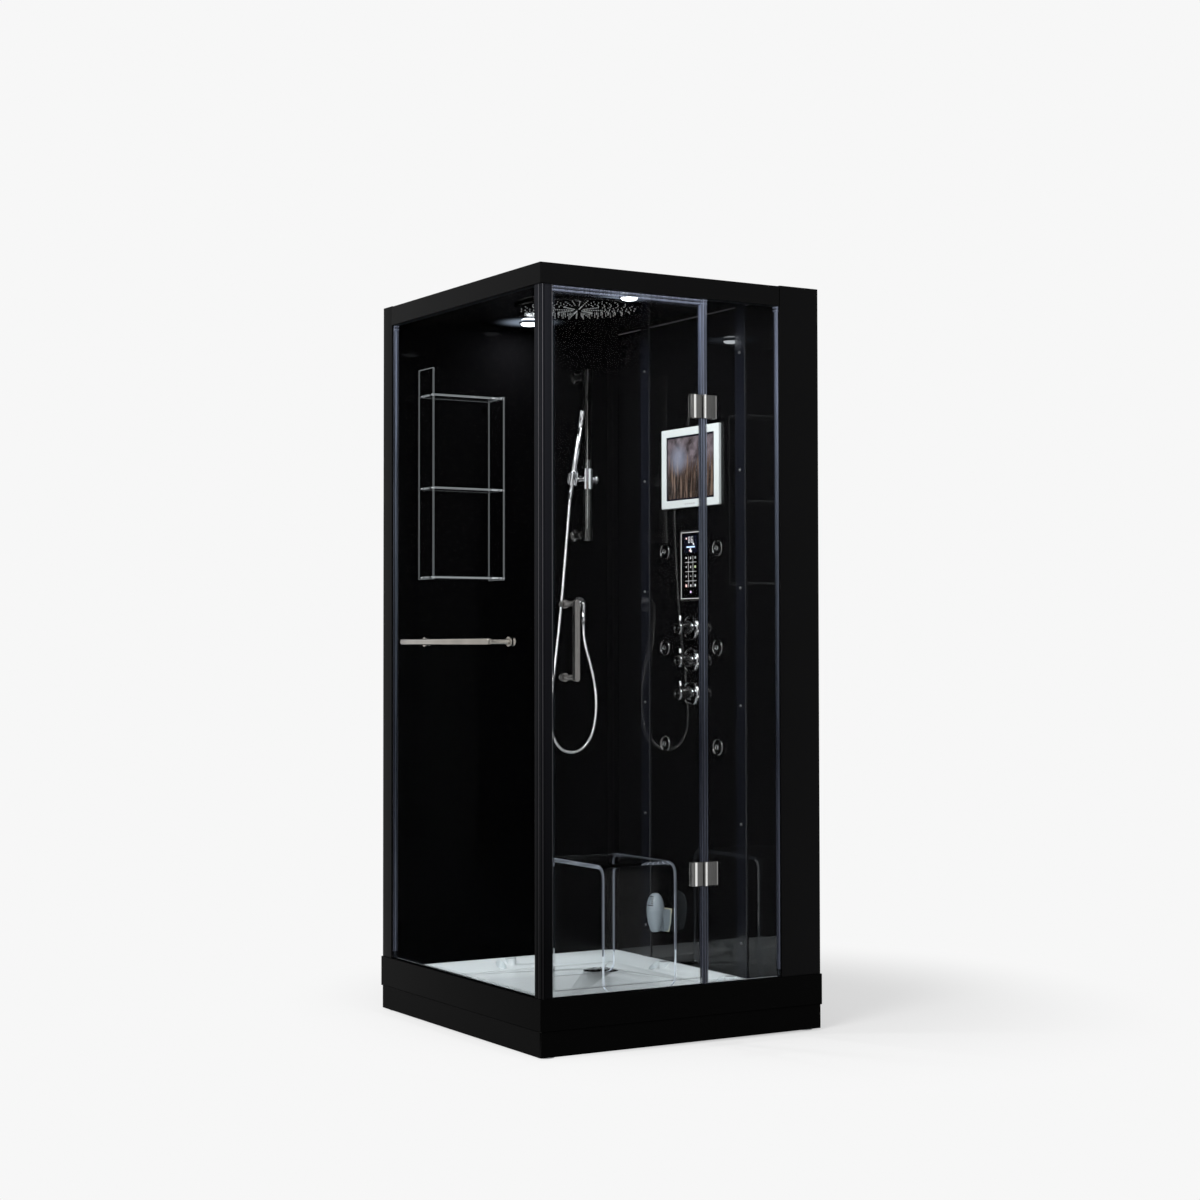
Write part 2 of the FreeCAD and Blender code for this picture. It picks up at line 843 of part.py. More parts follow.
def make_roof_frame():
    x1 = wall_x - roof_joint
    y1 = wall_y - roof_joint
    t = roof_band_thickness
    lip = 9.0
    sheet = 3.0
    ring = box(left_x, x1, front_y, y1, roof_band_bottom, roof_band_top)
    ring = rounded(ring, 3.0, runs_along(Z))
    inside = box(left_x + t, x1 + 1.0, front_y + t, y1 + 1.0, roof_band_bottom - 1.0,
                 roof_band_top + 1.0)
    ring = ring.cut(inside)
    ledge = box(left_x + t, left_x + t + lip, front_y + t, y1,
                ceiling_height - fit_gap - sheet, ceiling_height - fit_gap)
    ring = ring.fuse(ledge)
    ledge = box(left_x + t, x1, front_y + t, front_y + t + lip,
                ceiling_height - fit_gap - sheet, ceiling_height - fit_gap)
    ring = ring.fuse(ledge)
    top = ceiling_height + ceiling_thickness + fit_gap
    bar = box(x1 - t, x1, front_y + t, y1, top, roof_band_top)
    ring = ring.fuse(bar)
    bar = box(left_x + t, x1, y1 - t, y1, top, roof_band_top)
    return ring.fuse(bar).removeSplitter()


def make_roof_cover():
    t = roof_band_thickness + fit_gap
    top = roof_band_top - roof_cover_drop
    x1 = wall_x - roof_joint - t
    y1 = wall_y - roof_joint - t
    cover = box(left_x + t, x1, front_y + t, y1, top - roof_cover_thickness, top)
    for y in (-120.0, 0.0, 120.0):
        stiffener = box(left_x + t + 40.0, x1 - 40.0, y - 8.0, y + 8.0, top, top + 4.0)
        cover = cover.fuse(stiffener)
    return cover.removeSplitter()


def make_ceiling_panel():
    t = roof_band_thickness + fit_gap
    panel = box(left_x + t, wall_x - fit_gap, front_y + t, wall_y - fit_gap,
                ceiling_height, ceiling_height + ceiling_thickness)
    for y in spot_places:
        panel = panel.cut(rod(spot_x, y, ceiling_height - 1.0, Z,
                              spot_body_radius + hole_gap, ceiling_thickness + 2.0))
    panel = panel.cut(rod(rain_head_x, rain_head_y, ceiling_height - 1.0, Z,
                          rain_inlet_radius + hole_gap, ceiling_thickness + 2.0))
    return panel


def make_rain_head():
    under = ceiling_height - rain_head_drop - rain_head_thickness
    r = rain_head_radius
    c = rain_collar_radius
    top = ceiling_height
    n = rain_inlet_radius
    outline = [(0.0, under), (r - 2.5, under), (r - 0.7, under + 0.8), (r, under + 2.5),
               (r, top - rain_head_drop - 2.0), (r - 2.0, top - rain_head_drop),
               (c + 8.0, top - rain_head_drop), (c, top), (n, top), (n, top + 18.0),
               (0.0, top + 18.0)]
    return turned(outline, point(rain_head_x, rain_head_y, 0.0), Z)


def make_led_spots():
    spots = []
    r = spot_radius
    b = spot_body_radius
    top = ceiling_height
    for y in spot_places:
        outline = [(0.0, top - spot_drop + 2.0), (r - 6.0, top - spot_drop + 2.0),
                   (r - 5.0, top - spot_drop), (r - 2.0, top - spot_drop), (r, top - 2.0),
                   (r, top), (b, top), (b, top + 16.0), (0.0, top + 16.0)]
        spots.append(turned(outline, point(spot_x, y, 0.0), Z))
    return Part.makeCompound(spots)


# glass --------------------------------------------------------------------

def make_side_glass():
    y0 = post_y + post_width - glass_slot_depth
    y1 = wall_y - 3.0
    pane = box(side_glass_x, side_glass_back, y0, y1, base_top + side_glass_foot,
               roof_band_bottom - fit_gap)
    for y in towel_posts():
        pane = pane.cut(rod(side_glass_x - 1.0, y, towel_height, X,
                            handle_bolt_radius + hole_gap, glass_thickness + 2.0))
    return pane


def make_fixed_glass():
    x0 = hinge_line_x + door_glass_border / 2
    x1 = wall_x - 3.0
    pane = box(x0, x1, front_glass_y, front_glass_back, base_top + side_glass_foot,
               roof_band_bottom - fit_gap)
    for z in hinge_heights:
        for tool in hinge_bolts(z, 1.0, hole_gap):
            pane = pane.cut(tool)
    return pane


def make_pane_seals():
    half = (seal_thickness - glass_thickness) / 2
    gap = 0.1
    sx0 = side_glass_x - half
    sx1 = side_glass_back + half
    fy0 = front_glass_y - half
    fy1 = front_glass_back + half
    head = roof_band_bottom - fit_gap
    wall_strip = box(sx0, sx1, wall_y - wall_seal_width, wall_y - fit_gap, base_top, head)
    low_strip = box(sx0, sx1, post_y + post_width + fit_gap, wall_y - wall_seal_width,
                    base_top, base_top + bottom_seal_height)
    side = wall_strip.fuse(low_strip)
    side = side.cut(box(side_glass_x - gap, side_glass_back + gap, front_y,
                        wall_y - 3.0 + gap, base_top + side_glass_foot - gap, head + 1.0))
    x0 = hinge_line_x + running_gap + 0.1
    x1 = x0 + door_seal_width - 1.0
    hinge_strip = box(x0, x1, fy0, fy1, base_top, head)
    wall_strip = box(wall_x - wall_seal_width, wall_x - fit_gap, fy0, fy1, base_top, head)
    low_strip = box(x1, wall_x - wall_seal_width, fy0, fy1, base_top,
                    base_top + bottom_seal_height)
    front = hinge_strip.fuse(wall_strip).fuse(low_strip)
    front = front.cut(box(hinge_line_x + door_glass_border / 2 - gap, wall_x - 3.0 + gap,
                          front_glass_y - gap, front_glass_back + gap,
                          base_top + side_glass_foot - gap, head + 1.0))
    for z in hinge_heights:
        front = front.cut(hinge_clearance(z))
    return Part.makeCompound([side, front])


def hinge_clearance(z):
    half = hinge_height / 2 + 0.5
    w = hinge_leaf_width + 4.0
    return box(hinge_line_x - w, hinge_line_x + w, front_y - 10.0, front_glass_y,
               z - half, z + half).fuse(
        box(hinge_line_x - w, hinge_line_x + w, front_glass_back, front_glass_back + 20.0,
            z - half, z + half))


# hinges -------------------------------------------------------------------

def hinge_bolts(z, side, grow):
    """Clamp bolts through the glass; side is +1 for the fixed pane."""
    x = hinge_line_x + side * hinge_bolt_inset
    start = hinge_line_y + 1.0
    length = front_glass_back + hinge_clamp_thickness - start - 0.5
    radius = hinge_bolt_radius + grow
    return [rod(x, start, z + rise, Y, radius, length)
            for rise in (-hinge_bolt_spacing / 2, hinge_bolt_spacing / 2)]


def hinge_leaf(z, side):
    """One clamp leaf: outer plate, inner plate, bolts and its knuckle half."""
    low = z - hinge_height / 2
    high = z + hinge_height / 2
    near = knuckle_radius + 0.5
    far = hinge_leaf_width
    y0 = front_glass_y - hinge_plate_thickness
    xs = sorted((hinge_line_x + side * near, hinge_line_x + side * far))
    outer = box(xs[0], xs[1], y0, front_glass_y, low, high)
    outer = rounded(outer, 1.2, lambda e: e.CenterOfMass.y < y0 + 0.01)
    xs = sorted((hinge_line_x + side * 3.0, hinge_line_x + side * far))
    back = front_glass_back
    inner = box(xs[0], xs[1], back, back + hinge_clamp_thickness, low, high)
    leaf = outer.fuse(inner)
    for bolt in hinge_bolts(z, side, 0.0):
        leaf = leaf.fuse(bolt)
    gap = running_gap / 2
    k0, k1 = (low, z - gap) if side > 0 else (z + gap, high)
    knuckle = rod(hinge_line_x, hinge_line_y, k0, Z, knuckle_radius, k1 - k0)
    xs = sorted((hinge_line_x, hinge_line_x + side * (near + 1.0)))
    bridge = box(xs[0], xs[1], y0 + 0.2, hinge_line_y + knuckle_radius - 1.0, k0, k1)
    return leaf.fuse(knuckle).fuse(bridge)


def make_hinge_fixed_leaves():
    leaves = []
    for z in hinge_heights:
        pin = rod(hinge_line_x, hinge_line_y, z - 1.0, Z, hinge_pin_radius,
                  hinge_height / 2 + 1.0)
        leaves.append(hinge_leaf(z, 1.0).fuse(pin).removeSplitter())
    return Part.makeCompound(leaves)


def make_hinge_door_leaves():
    leaves = []
    for z in hinge_heights:
        bore = rod(hinge_line_x, hinge_line_y, z - 1.0, Z, hinge_pin_radius + shaft_gap,
                   hinge_height / 2 + 2.0)
        leaves.append(hinge_leaf(z, -1.0).cut(bore).removeSplitter())
    return Part.makeCompound(leaves)


# door ---------------------------------------------------------------------

def door_span():
    """Outer edges of the door with its seals: x0, x1, z0, z1."""
    x0 = left_x + door_edge + 0.6
    x1 = hinge_line_x - 0.4
    return x0, x1, base_top + door_bottom_gap, roof_band_bottom - door_top_gap


def make_door_glass():
    x0, x1, z0, z1 = door_span()
    pane = box(x0 + 11.0, hinge_line_x - door_glass_border / 2, front_glass_y,
               front_glass_back, z0 + 16.0, z1 - 16.0)
    pane = rounded(pane, 6.0, lambda e: runs_along(Y)(e))
    for z in hinge_heights:
        for tool in hinge_bolts(z, -1.0, hole_gap):
            pane = pane.cut(tool)
    for z in handle_posts():
        pane = pane.cut(rod(handle_x, front_glass_y - 1.0, z, Y,
                            handle_bolt_radius + hole_gap, glass_thickness + 2.0))
    return pane


def make_door_seals():
    x0, x1, z0, z1 = door_span()
    half = (seal_thickness - glass_thickness) / 2
    y0 = front_glass_y - half
    y1 = front_glass_back + half
    strip = box(x0, x1, y0, y1, z0, z1)
    strip = rounded(strip, door_seal_corner,
                    lambda e: runs_along(Y)(e) and e.CenterOfMass.z > z1 - 1.0)
    w = door_seal_width
    window = box(x0 + w, x1 - w, y0 - 1.0, y1 + 1.0, z0 + door_bottom_seal, z1 - door_top_seal)
    window = rounded(window, 5.0, runs_along(Y))
    strip = strip.cut(window)
    gap = 0.1
    slot = box(x0 + 11.0 - gap, hinge_line_x - door_glass_border / 2 + gap,
               front_glass_y - gap, front_glass_back + gap, z0 + 16.0 - gap, z1 - 16.0 + gap)
    strip = strip.cut(slot)
    for z in hinge_heights:
        strip = strip.cut(hinge_clearance(z))
    return strip


def handle_posts():
    return (handle_bottom + handle_post_inset,
            handle_bottom + handle_length - handle_post_inset)


def make_door_handle():
    w = handle_width
    y0 = front_glass_y - handle_reach - handle_thickness / 2 + 7.0
    y1 = y0 + handle_thickness
    bar = box(handle_x - w / 2, handle_x + w / 2, y0, y1, handle_bottom,
              handle_bottom + handle_length)
    bar = rounded(bar, w / 2 - 0.05, runs_along(Y))
    bar = rounded(bar, 1.2, lambda e: e.CenterOfMass.y < y0 + 0.01)
    outside = bar
    knobs = []
    for z in handle_posts():
        outside = outside.fuse(rod(handle_x, y1 - 1.0, z, Y, handle_post_radius,
                                   front_glass_y - y1 + 1.0))
        t = handle_washer_thickness
        outside = outside.fuse(rod(handle_x, front_glass_y - t, z, Y, handle_washer_radius, t))
        bolt = handle_bolt_radius
        outside = outside.fuse(rod(handle_x, front_glass_y - t, z, Y, bolt,
                                   glass_thickness + t + 6.0))
        k = handle_knob_length
        r = handle_knob_radius
        knob = turned([(bolt + shaft_gap, 0.0), (r + 2.0, 0.0), (r + 2.0, 2.0), (r, 2.0),
                       (r, k - 2.0), (r - 2.0, k), (0.0, k), (0.0, 6.2),
                       (bolt + shaft_gap, 6.2)], point(handle_x, front_glass_back, z), Y)
        knobs.append(knob)
    return Part.makeCompound([outside.removeSplitter()] + knobs)


def towel_posts():
    return (towel_bar_start + towel_post_inset,
            towel_bar_start + towel_bar_length - towel_post_inset)


def make_towel_rail():
    x = side_glass_x - towel_reach
    r = towel_bar_radius
    bar = turned([(0.0, 0.0), (r - 3.0, 0.0), (r - 1.0, 1.0), (r, 3.0),
                  (r, towel_bar_length - 3.0), (r - 1.0, towel_bar_length - 1.0),
                  (r - 3.0, towel_bar_length), (0.0, towel_bar_length)],
                 point(x, towel_bar_start, towel_height), Y)
    outside = bar
    knobs = []
    t = towel_flange_thickness
    f = towel_flange_radius
    bolt = handle_bolt_radius
    for y in towel_posts():
        outside = outside.fuse(rod(x, y, towel_height, X, towel_post_radius, towel_reach))
        outside = outside.fuse(rod(side_glass_x - t, y, towel_height, X, f, t))
        outside = outside.fuse(rod(side_glass_x - t, y, towel_height, X, bolt,
                                   glass_thickness + t + 6.0))
        k = towel_knob_length
        knobs.append(turned([(bolt + shaft_gap, 0.0), (f, 0.0), (f, k - 3.0), (f - 3.0, k),
                             (0.0, k), (0.0, 6.2), (bolt + shaft_gap, 6.2)],
                            point(side_glass_back, y, towel_height), X))
    return Part.makeCompound([outside.removeSplitter()] + knobs)


# service wall fittings ----------------------------------------------------

def framed_box(width, height, centre, thickness, corner, margin, depth):
    """A bezel in front of the wall with its box let in behind."""
    y0 = service_centre_y - width / 2
    bezel = box(wall_x - thickness, wall_x - 0.05, y0, y0 + width, centre - height / 2,
                centre + height / 2)
    bezel = rounded(bezel, corner, runs_along(X))
    bezel = rounded(bezel, 1.5, lambda e: e.CenterOfMass.x < wall_x - thickness + 0.01)
    behind = box(wall_x - 0.05, wall_x + depth, y0 + margin, y0 + width - margin,
                 centre - height / 2 + margin, centre + height / 2 - margin)
    return bezel.fuse(behind)


def make_tv_housing():
    body = framed_box(tv_width, tv_height, tv_centre, tv_bezel_thickness, tv_corner_radius,
                      tv_box_margin, tv_box_depth)
    half = tv_screen_width / 2
    rise = tv_screen_height / 2
    window = box(wall_x - tv_bezel_thickness - 1.0, wall_x - 2.0, service_centre_y - half,
                 service_centre_y + half, tv_centre - rise, tv_centre + rise)
    return body.cut(window)


def make_tv_screen():
    g = fit_gap
    half = tv_screen_width / 2 - g
    rise = tv_screen_height / 2 - g
    return box(wall_x - tv_bezel_thickness + tv_screen_recess, wall_x - 2.0,
               service_centre_y - half, service_centre_y + half, tv_centre - rise,
               tv_centre + rise)


def make_control_frame():
    body = framed_box(control_width, control_height, control_centre, control_thickness,
                      control_corner_radius, control_box_margin, control_box_depth)
    half = control_width / 2 - control_border
    rise = control_height / 2 - control_border
    window = box(wall_x - control_thickness - 1.0, wall_x - 1.5, service_centre_y - half,
                 service_centre_y + half, control_centre - rise, control_centre + rise)
    window = rounded(window, control_corner_radius - 2.0, runs_along(X))
    return body.cut(window)


def make_control_glass():
    g = fit_gap
    half = control_width / 2 - control_border - g
    rise = control_height / 2 - control_border - g
    pane = box(wall_x - control_thickness + control_recess, wall_x - 1.5,
               service_centre_y - half, service_centre_y + half, control_centre - rise,
               control_centre + rise)
    return rounded(pane, control_corner_radius - 2.0 - g, runs_along(X))


def make_valve_plates():
    plates = []
    r = valve_plate_radius
    t = valve_plate_thickness
    n = valve_nose_radius
    s = valve_spindle_radius
    for z in valve_heights:
        outline = [(0.0, wall_panel_thickness), (n - 0.5, wall_panel_thickness), (n - 0.5, 0.0),
                   (r, 0.0), (r, -2.0), (r - 3.0, -t + 2.0), (r - 8.0, -t), (n + 2.0, -t),
                   (n, -t - valve_nose_length), (s, -t - valve_nose_length),
                   (s, -t - valve_nose_length - valve_spindle_length),
                   (0.0, -t - valve_nose_length - valve_spindle_length)]
        plates.append(turned(outline, point(wall_x, service_centre_y, z), X))
    return Part.makeCompound(plates)


def make_valve_knob(z):
    r = valve_knob_radius
    front = -valve_knob_reach
    back = -valve_plate_thickness - valve_nose_length - 1.0
    s = valve_spindle_radius + shaft_gap
    end = -valve_plate_thickness - valve_nose_length - valve_spindle_length - 1.0
    outline = [(s, back), (r - 6.0, back), (r - 3.0, back - 1.0), (r - 2.0, back - 5.0),
               (r - 3.0, back - 14.0), (r - 1.0, back - 26.0), (r, front + 6.0),
               (r - 0.6, front + 2.0), (r - 2.6, front + 0.4), (r - 4.0, front), (0.0, front),
               (0.0, end), (s, end)]
    centre = point(wall_x, service_centre_y, z)
    knob = turned(outline, centre, X)
    pin_x = wall_x - valve_knob_reach + valve_pin_inset
    p = valve_pin_radius
    h = valve_pin_height
    pin = turned([(0.0, r - 8.0), (p, r - 8.0), (p, h - 2.5), (p - 0.8, h - 0.8),
                  (p - 2.5, h), (0.0, h)], point(pin_x, service_centre_y, z), Z)
    return knob.fuse(pin).removeSplitter()


def jet_places():
    return [(service_centre_y + side * jet_offset, z)
            for side in (1, -1) for z in jet_heights]


def ball_section(centre, radius, start, end):
    """Stretch of a ball's section, between two angles from the pole at the room side."""
    def spot(turn):
        turn = math.radians(turn)
        return centre + Z * (radius * math.sin(turn)) - X * (radius * math.cos(turn))
    return Part.Arc(spot(start), spot((start + end) / 2), spot(end)).toShape()


def turned_section(arc, outline, centre):
    """Revolve an arc closed by an outline of (radius, distance into the wall)."""
    spots = [arc.Vertexes[-1].Point]
    spots += [centre + Z * r + X * d for r, d in outline]
    spots.append(arc.Vertexes[0].Point)
    section = Part.Face(Part.Wire([arc] + Part.makePolygon(spots).Edges))
    return section.revolve(centre, X, 360)


def make_jet_housings():
    housings = []
    seat = jet_ball_radius + running_gap
    face = -jet_flange_thickness
    mouth = math.degrees(math.acos((jet_ball_depth - face) / seat))
    mouth_radius = seat * math.sin(math.radians(mouth))
    r = jet_flange_radius
    b = jet_body_radius
    outline = [(8.0, jet_body_depth), (b, jet_body_depth), (b, 0.0), (r, 0.0), (r, -2.5),
               (r - 2.5, -5.0), (r - 5.0, -5.5), (mouth_radius + 2.0, face)]
    for y, z in jet_places():
        arc = ball_section(point(wall_x + jet_ball_depth, y, z), seat, mouth, 118.0)
        housings.append(turned_section(arc, outline, point(wall_x, y, z)))
    return Part.makeCompound(housings)


def make_jet_nozzle(y, z):
    r = jet_ball_radius
    face = -jet_ball_radius + 1.6
    rim = math.degrees(math.acos(-face / r))
    hole = math.degrees(math.asin(jet_bore_radius / r))
    centre = point(wall_x + jet_ball_depth, y, z)
    arc = ball_section(centre, r, rim, 180.0 - hole)
    return turned_section(arc, [(jet_bore_radius, face + 4.0), (7.0, face)], centre)


def steam_side(grow):
    """Half widths of the steam cup's flange on the wall."""
    w = steam_flange_half + grow
    return [(-w, steam_seam + grow), (w, steam_seam + grow), (w - 1.0, steam_seam - 12.0),
            (w - 5.0, steam_bottom + 24.0), (w - 9.0, steam_bottom + 17.0),
            (w - 11.0, steam_bottom + 8.0), (w - 17.0, steam_bottom - grow),
            (-w + 17.0, steam_bottom - grow), (-w + 11.0, steam_bottom + 8.0),
            (-w + 9.0, steam_bottom + 17.0), (-w + 5.0, steam_bottom + 24.0),
            (-w + 1.0, steam_seam - 12.0)]


def make_steam_cup():
    x = wall_x - steam_reach
    r = steam_radius
    f = steam_foot_radius
    s = steam_spigot_radius + shaft_gap
    deep = steam_spigot_length + 2.0
    outline = [(0.0, steam_bottom), (f - 4.0, steam_bottom), (f, steam_bottom + 3.0),
               (f + 3.0, steam_bottom + 9.0), (f + 4.0, steam_bottom + 17.0),
               (f + 8.0, steam_bottom + 26.0), (r - 2.0, steam_seam - 26.0),
               (r, steam_seam - 8.0), (r, steam_seam), (s, steam_seam),
               (s, steam_seam - deep), (0.0, steam_seam - deep)]
    cup = turned(outline, point(x, steam_y, 0.0), Z)
    spots = [point(x, steam_y + a, b) for a, b in steam_side(0.0)]
    arm = polygon_prism(spots, X * (steam_reach - 0.05))
    arm = arm.cut(rod(x, steam_y, steam_bottom - 5.0, Z, r - 0.5,
                      steam_seam - steam_bottom + 10.0))
    neck = rod(wall_x - 1.0, steam_y, steam_seam - 30.0, X, steam_pipe_radius(), 30.0)
    spots = [point(wall_x - steam_gasket, steam_y + a, b) for a, b in steam_side(1.8)]
    rim = polygon_prism(spots, X * (steam_gasket - 0.05))
    return cup.fuse(arm).fuse(rim).fuse(neck).removeSplitter()


def make_steam_dome():
    x = wall_x - steam_reach
    r = steam_radius
    low = steam_seam + running_gap
    tall = steam_top - low
    outline = [(0.0, low - steam_spigot_length)]
    outline += [(steam_spigot_radius, low - steam_spigot_length), (steam_spigot_radius, low)]
    outline.append((r, low))
    steps = 12
    for i in range(1, steps + 1):
        turn = math.radians(90.0 * i / steps)
        outline.append((r * math.cos(turn) ** 0.86 if i < steps else 0.0,
                        low + tall * math.sin(turn)))
    dome = turned(outline, point(x, steam_y, 0.0), Z)
    for i in range(steam_slots):
        z = slots_first + i * steam_slot_pitch
        half = steam_slot_half_width - 0.55 * i
        inner = r * math.sqrt(max(0.05, 1.0 - ((z - low) / tall) ** 2)) - 4.0
        dome = dome.cut(box(x - r - 2.0, x - inner, steam_y - half, steam_y + half,
                            z, z + steam_slot_height))
    return dome


# shower set ---------------------------------------------------------------

def rail_y():
    return wall_y - rail_stand_off


def rail_section(grow):
    x0 = rail_x - rail_width / 2 - grow
    y0 = rail_y() - rail_depth / 2 - grow
    bar = box(x0, x0 + rail_width + 2 * grow, y0, y0 + rail_depth + 2 * grow,
              rail_bottom, rail_top)
    return rounded(bar, 4.0, runs_along(Z))


def bracket_places():
    return (rail_bottom + bracket_height / 2, rail_top - bracket_height / 2)


def make_slide_rail():
    bar = rail_section(0.0)
    solids = [bar]
    for z in bracket_places():
        half = bracket_height / 2
        block = box(rail_x - bracket_width / 2, rail_x + bracket_width / 2,
                    rail_y() - bracket_depth / 2, rail_y() + bracket_depth / 2,
                    z - half, z + half)
        block = rounded(block, 5.0, runs_along(Z))
        start = rail_y() + bracket_depth / 2
        reach = wall_y - fit_gap - start
        n = bracket_neck_radius
        f = bracket_flange_radius
        t = bracket_flange_thickness
        arm = turned([(0.0, -2.0), (n + 3.0, -2.0), (n + 3.0, 8.0), (n, 10.0), (n, 18.0),
                      (n + 2.0, 20.0), (n + 2.0, 24.0), (n, 26.0), (n, reach - t - 4.0),
                      (f - 3.0, reach - t), (f, reach - t + 2.0), (f, reach), (0.0, reach)],
                     point(rail_x, start, z), Y)
        solids.append(block.fuse(arm).cut(rail_section(shaft_gap)).removeSplitter())
    return Part.makeCompound(solids)


def make_rail_slider():
    x0 = rail_x - slider_width / 2
    y0 = rail_y() - slider_depth / 2
    body = box(x0, x0 + slider_width, y0, y0 + slider_depth, slider_bottom,
               slider_bottom + slider_height)
    body = rounded(body, 6.0, runs_along(Z))
    r = slider_boss_radius
    length = slider_boss_length
    boss = turned([(0.0, 0.5), (r, 0.5), (r, -3.0), (r - 2.0, -4.0), (r - 2.0, -6.0), (r, -7.0),
                   (r, -length), (0.0, -length)], point(x0, rail_y(), slider_pivot), X)
    body = body.fuse(boss)
    pivot = rod(x0 - length - 14.0, rail_y(), slider_pivot, X, holder_pin_radius, 16.0)
    body = body.fuse(pivot)
    bore = rod(x0 + slider_width - 8.0, rail_y(), slider_pivot, X,
               lock_stud_radius + shaft_gap, 10.0)
    return body.cut(rail_section(running_gap)).cut(bore).removeSplitter()


def make_lock_knob():
    x0 = rail_x + slider_width / 2 + running_gap
    r = lock_radius
    n = lock_length
    s = lock_stud_radius
    outline = [(0.0, -5.0), (s, -5.0), (s, 0.0), (r - 8.0, 0.0), (r - 8.0, 6.0), (r - 2.0, 8.0),
               (r, 10.0), (r, n - 3.0), (r - 3.0, n), (0.0, n)]
    knob = turned(outline, point(x0, rail_y(), slider_pivot), X)
    for i in range(10):
        turn = math.radians(36.0 * i)
        knob = knob.cut(rod(x0 + 8.0, rail_y() + (r + 1.2) * math.cos(turn),
                            slider_pivot + (r + 1.2) * math.sin(turn), X, 2.6, n))
    return knob


def wand_axis():
    lean = math.radians(wand_tilt)
    return point(0.0, -math.sin(lean), math.cos(lean))


def wand_point(distance):
    """A point on the wand's axis, measured from the holder's pivot."""
    return point(wand_x, rail_y(), slider_pivot) + wand_axis() * distance


def make_shower_holder():
    axis = wand_axis()
    r = holder_radius
    half = holder_length / 2
    sleeve = Part.makeCylinder(r, holder_length, wand_point(-half), axis)
    sleeve = sleeve.makeChamfer(1.5, [e for e in sleeve.Edges if isinstance(e.Curve, Part.Circle)])
    for i in range(holder_ribs):
        turn = math.radians(150.0 + 24.0 * i)
        side = X * math.cos(turn) + axis.cross(X) * math.sin(turn)
        groove = Part.makeCylinder(1.5, holder_length - 12.0,
                                   wand_point(-half + 6.0) + side * (r + 0.5), axis)
        sleeve = sleeve.cut(groove)
    boss_x = rail_x - slider_width / 2 - slider_boss_length - running_gap
    boss_start = wand_x + r - 4.0
    boss = rod(boss_start, rail_y(), slider_pivot, X, slider_boss_radius, boss_x - boss_start)
    body = sleeve.fuse(boss)
    pivot = rod(boss_x - 15.0, rail_y(), slider_pivot, X, holder_pin_radius + shaft_gap, 16.0)
    body = body.cut(pivot)
    bore = Part.makeCylinder(wand_radius + running_gap, holder_length + 10.0,
                             wand_point(-half - 5.0), axis)
    gap = box(-holder_slot / 2, holder_slot / 2, -r - 5.0, 0.0, -half - 5.0, half + 5.0)
    gap.rotate(point(0.0, 0.0, 0.0), X, wand_tilt)
    gap.translate(wand_point(0.0))
    return body.cut(bore).cut(gap).removeSplitter()


def make_hand_shower():
    axis = wand_axis()
    r = wand_radius
    low = -wand_below_pivot
    high = wand_above_pivot
    neck = high - wand_collar
    # a shoulder just above the holder keeps the wand from sliding through
    rest = holder_length / 2 + running_gap
    outline = [(0.0, low - 22.0), (r - 2.5, low - 22.0), (r - 1.5, low - 20.0),
               (r - 1.5, low), (r, low + 4.0), (r, rest), (r + 1.2, rest + 0.6),
               (r + 1.2, rest + 3.0), (r, rest + 5.0), (r, neck), (r - 0.7, neck + 0.7),
               (r - 0.7, neck + 2.2), (r, neck + 3.0), (r, high - 5.0), (r - 1.4, high - 1.6),
               (r - 4.0, high), (0.0, high)]
    centre = wand_point(0.0)
    spots = [centre + X * a + axis * d for a, d in outline]
    face = Part.Face(Part.makePolygon(spots + [spots[0]]))
    return face.revolve(centre, axis, 360)


def hose_route():
    """Points of the hose from the wand's foot to the wall outlet's nut."""
    start = wand_point(-wand_below_pivot - 22.0)
    axis = wand_axis()
    points = [start, start - axis * hose_first_run]
    points += [point(x, wall_y - away, z) for x, away, z in hose_points]
    end = point(outlet_x, wall_y - outlet_reach, outlet_bottom)
    points.append(end - Z * hose_last_run)
    points.append(end)
    return points


def hose_path(points):
    """Straight runs joined by tangent arcs; prints each arc's radius."""
    edges = []
    radii = []
    last = points[0]
    for before, corner, after in zip(points, points[1:], points[2:]):
        a = (corner - before).normalize()
        b = (after - corner).normalize()
        turn = a.getAngle(b)
        run = min(corner.distanceToPoint(before), corner.distanceToPoint(after)) * 0.45
        radius = run / math.tan(turn / 2)
        radii.append(radius)
        enter = corner - a * run
        leave = corner + b * run
        inward = (b - a).normalize()
        centre = corner + inward * (radius / math.cos(turn / 2))
        middle = centre - inward * radius
        edges.append(Part.LineSegment(last, enter).toShape())
        edges.append(Part.Arc(enter, middle, leave).toShape())
        last = leave
    edges.append(Part.LineSegment(last, points[-1]).toShape())
    print("hose radii", [round(r) for r in radii])
    return Part.Wire(edges)


def make_shower_hose():
    points = hose_route()
    path = hose_path(points)
    start = (points[1] - points[0]).normalize()
    ring = Part.Wire(Part.makeCircle(hose_radius, points[0], start))
    tube = path.makePipeShell([ring], True, False)
    print("hose length", round(path.Length), "volume ratio",
          round(tube.Volume / (math.pi * hose_radius ** 2 * path.Length), 4))
    return tube


